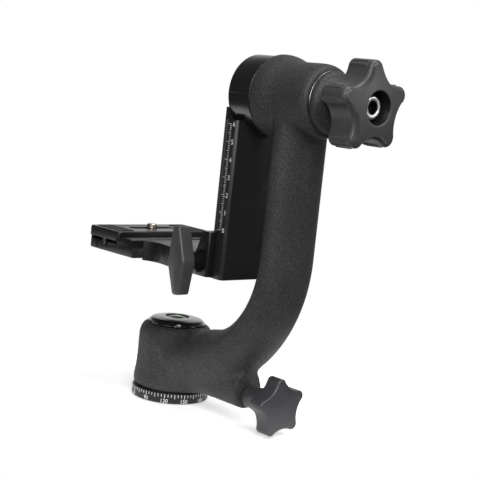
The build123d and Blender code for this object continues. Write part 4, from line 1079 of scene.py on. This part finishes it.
# ---------------- camera
def build_camera():
    """Camera low in front of the pan lock, leaning a little."""
    spot = Vector((581.11, -492.35, 197.75)) * MM
    yaw, pitch, roll = math.radians(137.22), math.radians(-7.30), math.radians(6.01)
    ahead = Vector((math.cos(yaw) * math.cos(pitch), math.sin(yaw) * math.cos(pitch), math.sin(pitch)))
    side = ahead.cross(Vector((0, 0, 1))).normalized()
    rise = side.cross(ahead)
    right = side * math.cos(roll) + rise * math.sin(roll)
    up = rise * math.cos(roll) - side * math.sin(roll)
    data = bpy.data.cameras.new("camera")
    data.lens = 94.55
    data.sensor_width = 36
    data.clip_start = 0.05
    data.clip_end = 20
    camera = add_object("camera", data)
    turn = Matrix((right, up, -ahead)).transposed().to_4x4()
    camera.matrix_world = Matrix.Translation(spot) @ turn
    bpy.context.scene.camera = camera


build_camera()


# ---------------- floor, lights and world
def build_floor():
    """A round pale table top under the object."""
    radius, top, corners = 140, -0.5, 96
    points = [(radius * math.cos(a), radius * math.sin(a), top) for a in ring_points(corners)]
    shade = Shade("floor_paper", (0.93, 0.93, 0.93), 0.0, 0.9, specular=0.1)
    cloud = shade.noise(60, detail=2)
    shade.use("Base Color", shade.ramp(cloud, [(0.3, (0.925, 0.925, 0.925)), (0.7, (0.94, 0.94, 0.94))]))
    shade.shader.inputs["Emission Strength"].default_value = 0.5
    floor = mesh_piece("floor", points, [tuple(range(corners))], shade.material)


def soft_box(name, place, aim, width, height, power):
    """A rectangular area light, in metres and watts."""
    data = bpy.data.lights.new(name, "AREA")
    data.shape = "RECTANGLE"
    data.size = width
    data.size_y = height
    data.energy = power
    light = add_object(name, data)
    light.location = place
    light.rotation_mode = "QUATERNION"
    light.rotation_quaternion = (Vector(aim) - Vector(place)).to_track_quat("-Z", "Y")
    light.visible_camera = False


FAR_SIDE = (-0.73, 0.68, 0.0)       # from the camera's side through the object
WORLD_STOPS = [(0.0, 0.07), (0.58, 0.08), (0.78, 0.14), (0.88, 0.35), (0.97, 1.0)]


def build_world():
    """White where the camera looks past the object.

    For the lighting it is a horizontal ramp, dim on the near side and bright on the far side.
    """
    world = bpy.data.worlds.new("studio")
    bpy.context.scene.world = world
    world.use_nodes = True
    tree = world.node_tree
    link = tree.links.new
    for old in list(tree.nodes):
        tree.nodes.remove(old)
    place = tree.nodes.new("ShaderNodeTexCoord")
    toward = tree.nodes.new("ShaderNodeVectorMath")
    toward.operation = "DOT_PRODUCT"
    toward.inputs[1].default_value = FAR_SIDE
    link(place.outputs["Generated"], toward.inputs[0])
    share = tree.nodes.new("ShaderNodeMapRange")
    share.inputs["From Min"].default_value = -1
    link(toward.outputs["Value"], share.inputs["Value"])
    ramp = ramp_node(tree, WORLD_STOPS)
    link(share.outputs["Result"], ramp.inputs["Fac"])
    seen = tree.nodes.new("ShaderNodeBackground")
    seen.inputs["Color"].default_value = (1, 1, 1, 1)
    fill = tree.nodes.new("ShaderNodeBackground")
    link(ramp.outputs["Color"], fill.inputs["Color"])
    path = tree.nodes.new("ShaderNodeLightPath")
    mix = tree.nodes.new("ShaderNodeMixShader")
    out = tree.nodes.new("ShaderNodeOutputWorld")
    link(path.outputs["Is Camera Ray"], mix.inputs["Fac"])
    link(fill.outputs["Background"], mix.inputs[1])
    link(seen.outputs["Background"], mix.inputs[2])
    link(mix.outputs["Shader"], out.inputs["Surface"])


AIM = (0.03, 0.0, 0.1)              # middle of the object
TILT_SPOT = (0.06, 0.0, TILT_Z * MM)
build_floor()
soft_box("top_box", (0.35, 0.15, 1.0), AIM, 0.6, 0.6, 7)
soft_box("key_box", (0.85, -0.55, 0.75), AIM, 0.4, 0.4, 8)
soft_box("low_box", (0.3, -1.0, 0.12), AIM, 0.5, 0.2, 0.9)
soft_box("side_box", (0.77, 0.49, 0.32), TILT_SPOT, 0.25, 0.1, 0.8)
soft_box("front_box", (0.62, -0.56, 0.34), AIM, 0.16, 0.16, 1.8)
soft_box("card_box", (-0.15, -0.13, -0.01), TILT_SPOT, 0.12, 0.12, 0.12)
build_world()
scene = bpy.context.scene
scene.view_settings.view_transform = "Standard"
scene.view_settings.look = "None"
